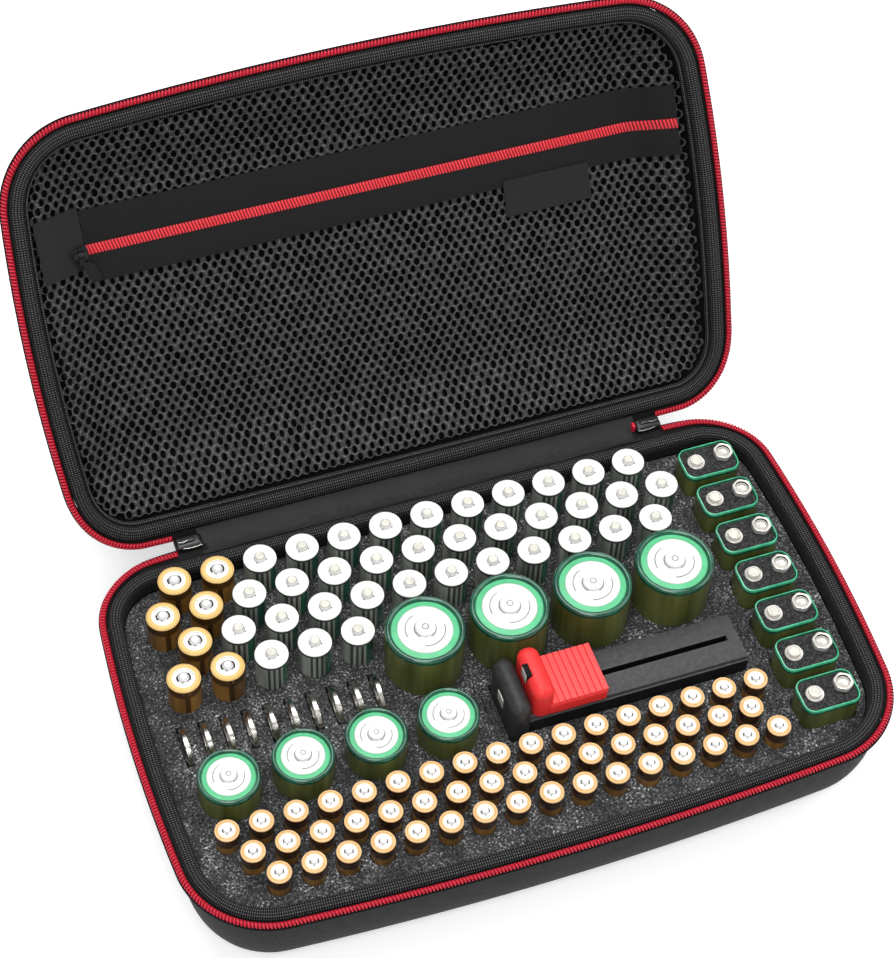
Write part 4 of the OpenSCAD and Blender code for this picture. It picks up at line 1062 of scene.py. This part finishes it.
def tester_slide():
    """The red finger on its foot, with nine grip ribs, a black patch of painted shade for the notch round the
    contact, and the contact.
    """
    y, z, x, red = TESTER_Y, TESTER_TOP + 0.3, FINGER_X0, M["slider_red"]
    b = Build()
    soft_box(b, (x + 0.8, y - SLIDE_HALF, 0), (x + 10.6, y + 14, z + 17), 4.3, red, 6, z)
    soft_box(b, (x + 7.5, y - SLIDE_HALF, 0), (x + 35, y + SLIDE_HALF, z + 6.6), 1.8, red, 4, z)
    for k in range(9):
        rib = x + 2.86 * k
        soft_box(b, (rib + 9.4, y - 12.2, z + 3), (rib + 12.0, y + 12.2, z + 7.4), 0.3,
                 M["slider_light"], 2)
    # A black patch on the finger's left face round the contact: painted shade for the notch it sits in
    soft_box(b, (x + 0.7, y - 1.8, z + 10.6), (x + 3.2, y + 4.8, z + 17.2), 0.3, M["black"], 2)
    b.piece("tester_slide_red", "tester_slider", "tester_red", 40, "tester_slide")
    b = Build()
    soft_box(b, (x + 0.5, y - 1.2, z + 10.9), (x + 1.7, y + 4.2, z + 16.4), 0.25, M["nickel"], 2)
    b.piece("tester_slide_contact", "tester_slider_contact", "contact_metal", 40, "tester_slide")


tester()
tester_slide()

# Zip sliders of the case

ZIP_SLIDER_AT = (110.965, 101.705, 44.791)


def zip_slider(side):
    """Body, foot and crown, a bright line along two of its edges, and a coil stop at the right one."""
    at = np.array([side * ZIP_SLIDER_AT[0], *ZIP_SLIDER_AT[1:]])
    black = M["metal_black"]
    b = Build()
    soft_box(b, at - [6.4, 3.6, 2.2], at + [6.4, 3.6, 2.2], 2.0, black, 4)
    if side > 0:
        soft_box(b, at + [-7.6, -1.6, -3.2], at + [-6.1, 1.6, 2.6], 0.6, M["red"], 2)
    soft_box(b, at + [-2.6, -1.5, -4.9], at + [2.6, 1.5, -1.5], 1.0, black)
    soft_box(b, at + [-3.6, -1.2, 1.7], at + [3.0, 1.2, 2.9], 0.6, black)
    for u0, u1, v, h in ((-5.6, 3.0, -3.35, 1.2), (0.5, 4.6, -0.6, 2.85)):
        glint = [at + np.array([side * (u0 + (u1 - u0) * t), v - 0.5 * sin(pi * t), h])
                 for t in np.linspace(0, 1, 9)]
        tube(b, glint, 0.3, M["steel"])
    kind = "left" if side < 0 else "right"
    b.piece(f"zip_slider_body_{kind}", f"zip_slider_{kind}", "slider_metal", 50)


zip_slider(-1)
zip_slider(1)

BUTTON_R, BUTTON_T, BUTTON_PITCH = 10.0, 3.2, 9.57
BUTTON_X, BUTTON_Y, BUTTON_Z = -139.9, 5.3, FOAM_TOP - 3.8


def buttons():
    """Ten button cells on edge, each turned about an upright axis and then laid along X."""
    r, t = BUTTON_R, BUTTON_T
    rows = [(0, 0), (r - 2.0, 0), (r - 1.7, 0.35), (r - 1.4, 0.55), (r - 0.5, 0.6), (r, 1.1), (r, t - 0.5),
            (r - 0.4, t - 0.05), (r - 1.2, t), (0, t)]
    cell = Build()
    lathe(cell, (0, 0, 0), [(radius, z, M["steel"]) for radius, z in rows], 48)
    v = np.vstack(cell.v)
    b = Build()
    for k in range(10):
        x0 = BUTTON_X + BUTTON_PITCH * k
        b.add(np.column_stack([x0 - t / 2 + v[:, 2], BUTTON_Y + v[:, 0], BUTTON_Z + v[:, 1]]), cell.f,
              M["steel"])
    b.piece("button_cells_steel", "button_cells", "button_steel", 30)


buttons()

# Solids that stay as the frame has them, with materials of their own
for name, key in (("foam_insert", "foam"), ("foam_pad", "foam"), ("pull_tab_left", "pull"),
                  ("pull_tab_right", "pull"), ("pocket_zip_slider", "metal_black"),
                  ("pocket_pull_tab", "pull"), ("label_tab", "patch")):
    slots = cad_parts[name].data.materials
    slots.clear()
    slots.append(M[key])

# Stage, lights and camera

def quad_plane(name, size, z, mat):
    mesh = bpy.data.meshes.new(name)
    h = size / 2
    mesh.from_pydata([(-h, -h, z), (h, -h, z), (h, h, z), (-h, h, z)], [], [(0, 1, 2, 3)])
    mesh.materials.append(mat)
    plane = bpy.data.objects.new(name, mesh)
    bpy.context.scene.collection.objects.link(plane)


def floor_material():
    """White floor that glows a little, for the camera and for reflections alone."""
    s = Shader("floor_white", (0.82, 0.82, 0.82), 0.9)
    path = s.node("LightPath")
    seen = s.math("MAXIMUM", path.outputs["Is Camera Ray"], path.outputs["Is Glossy Ray"])
    glow = s.node("Emission", Color=(1, 1, 1, 1), Strength=s.math("MULTIPLY", seen, 0.42))
    add = s.node("AddShader")
    s.put(add.inputs[0], s.bsdf.outputs[0])
    s.put(add.inputs[1], glow.outputs[0])
    s.set(s.tree.nodes["Material Output"], Surface=add.outputs[0])
    return s.mat


# The floor

quad_plane("floor", 8.0, -0.0004, floor_material())


# Strength of the white surroundings for light, and how much more of it the camera sees
SKY, SKY_SEEN = 0.38, 0.62
# Name, place, size and power of the lamps, and the point that they look at
LAMPS = [("key", (-0.5, -0.9, 1.6), 0.9, 16), ("fill", (1.2, -0.2, 1.2), 1.0, 8),
         ("top", (0.0, 0.5, 1.7), 1.2, 19)]
LAMPS_AT = Vector((0, 0.05, 0.05))


def lights():
    world = bpy.data.worlds.new("studio")
    bpy.context.scene.world = world
    world.use_nodes = True
    tree = world.node_tree
    back = tree.nodes["Background"]
    back.inputs["Color"].default_value = (1, 1, 1, 1)
    path = tree.nodes.new("ShaderNodeLightPath")
    mix = tree.nodes.new("ShaderNodeMath")
    mix.operation = "MULTIPLY_ADD"
    tree.links.new(path.outputs["Is Camera Ray"], mix.inputs[0])
    mix.inputs[1].default_value = SKY_SEEN
    mix.inputs[2].default_value = SKY
    tree.links.new(mix.outputs[0], back.inputs["Strength"])
    for name, at, size, power in LAMPS:
        lamp = bpy.data.lights.new(name, "AREA")
        lamp.size = size
        lamp.energy = power
        holder = bpy.data.objects.new(name, lamp)
        holder.location = at
        holder.rotation_euler = (LAMPS_AT - Vector(at)).to_track_quat("-Z", "Y").to_euler()
        bpy.context.scene.collection.objects.link(holder)


lights()

# Camera, as fitted to the photo
CAM_AT = (-0.24348, -0.52733, 0.94235)
CAM_RIGHT = (0.94278, -0.33148, 0.03593)
CAM_UP = (0.24456, 0.76073, 0.60124)
CAM_LENS = 92.14
cam = bpy.data.cameras.new("photo")
cam.lens, cam.sensor_width, cam.clip_end = CAM_LENS, 36.0, 50.0
camera = bpy.data.objects.new("photo", cam)
right, up = Vector(CAM_RIGHT).normalized(), Vector(CAM_UP).normalized()
turned = Matrix([right, up, right.cross(up)]).transposed().to_4x4()
camera.matrix_world = Matrix.Translation(CAM_AT) @ turned
bpy.context.scene.collection.objects.link(camera)
bpy.context.scene.camera = camera
bpy.context.scene.view_settings.view_transform = "Standard"
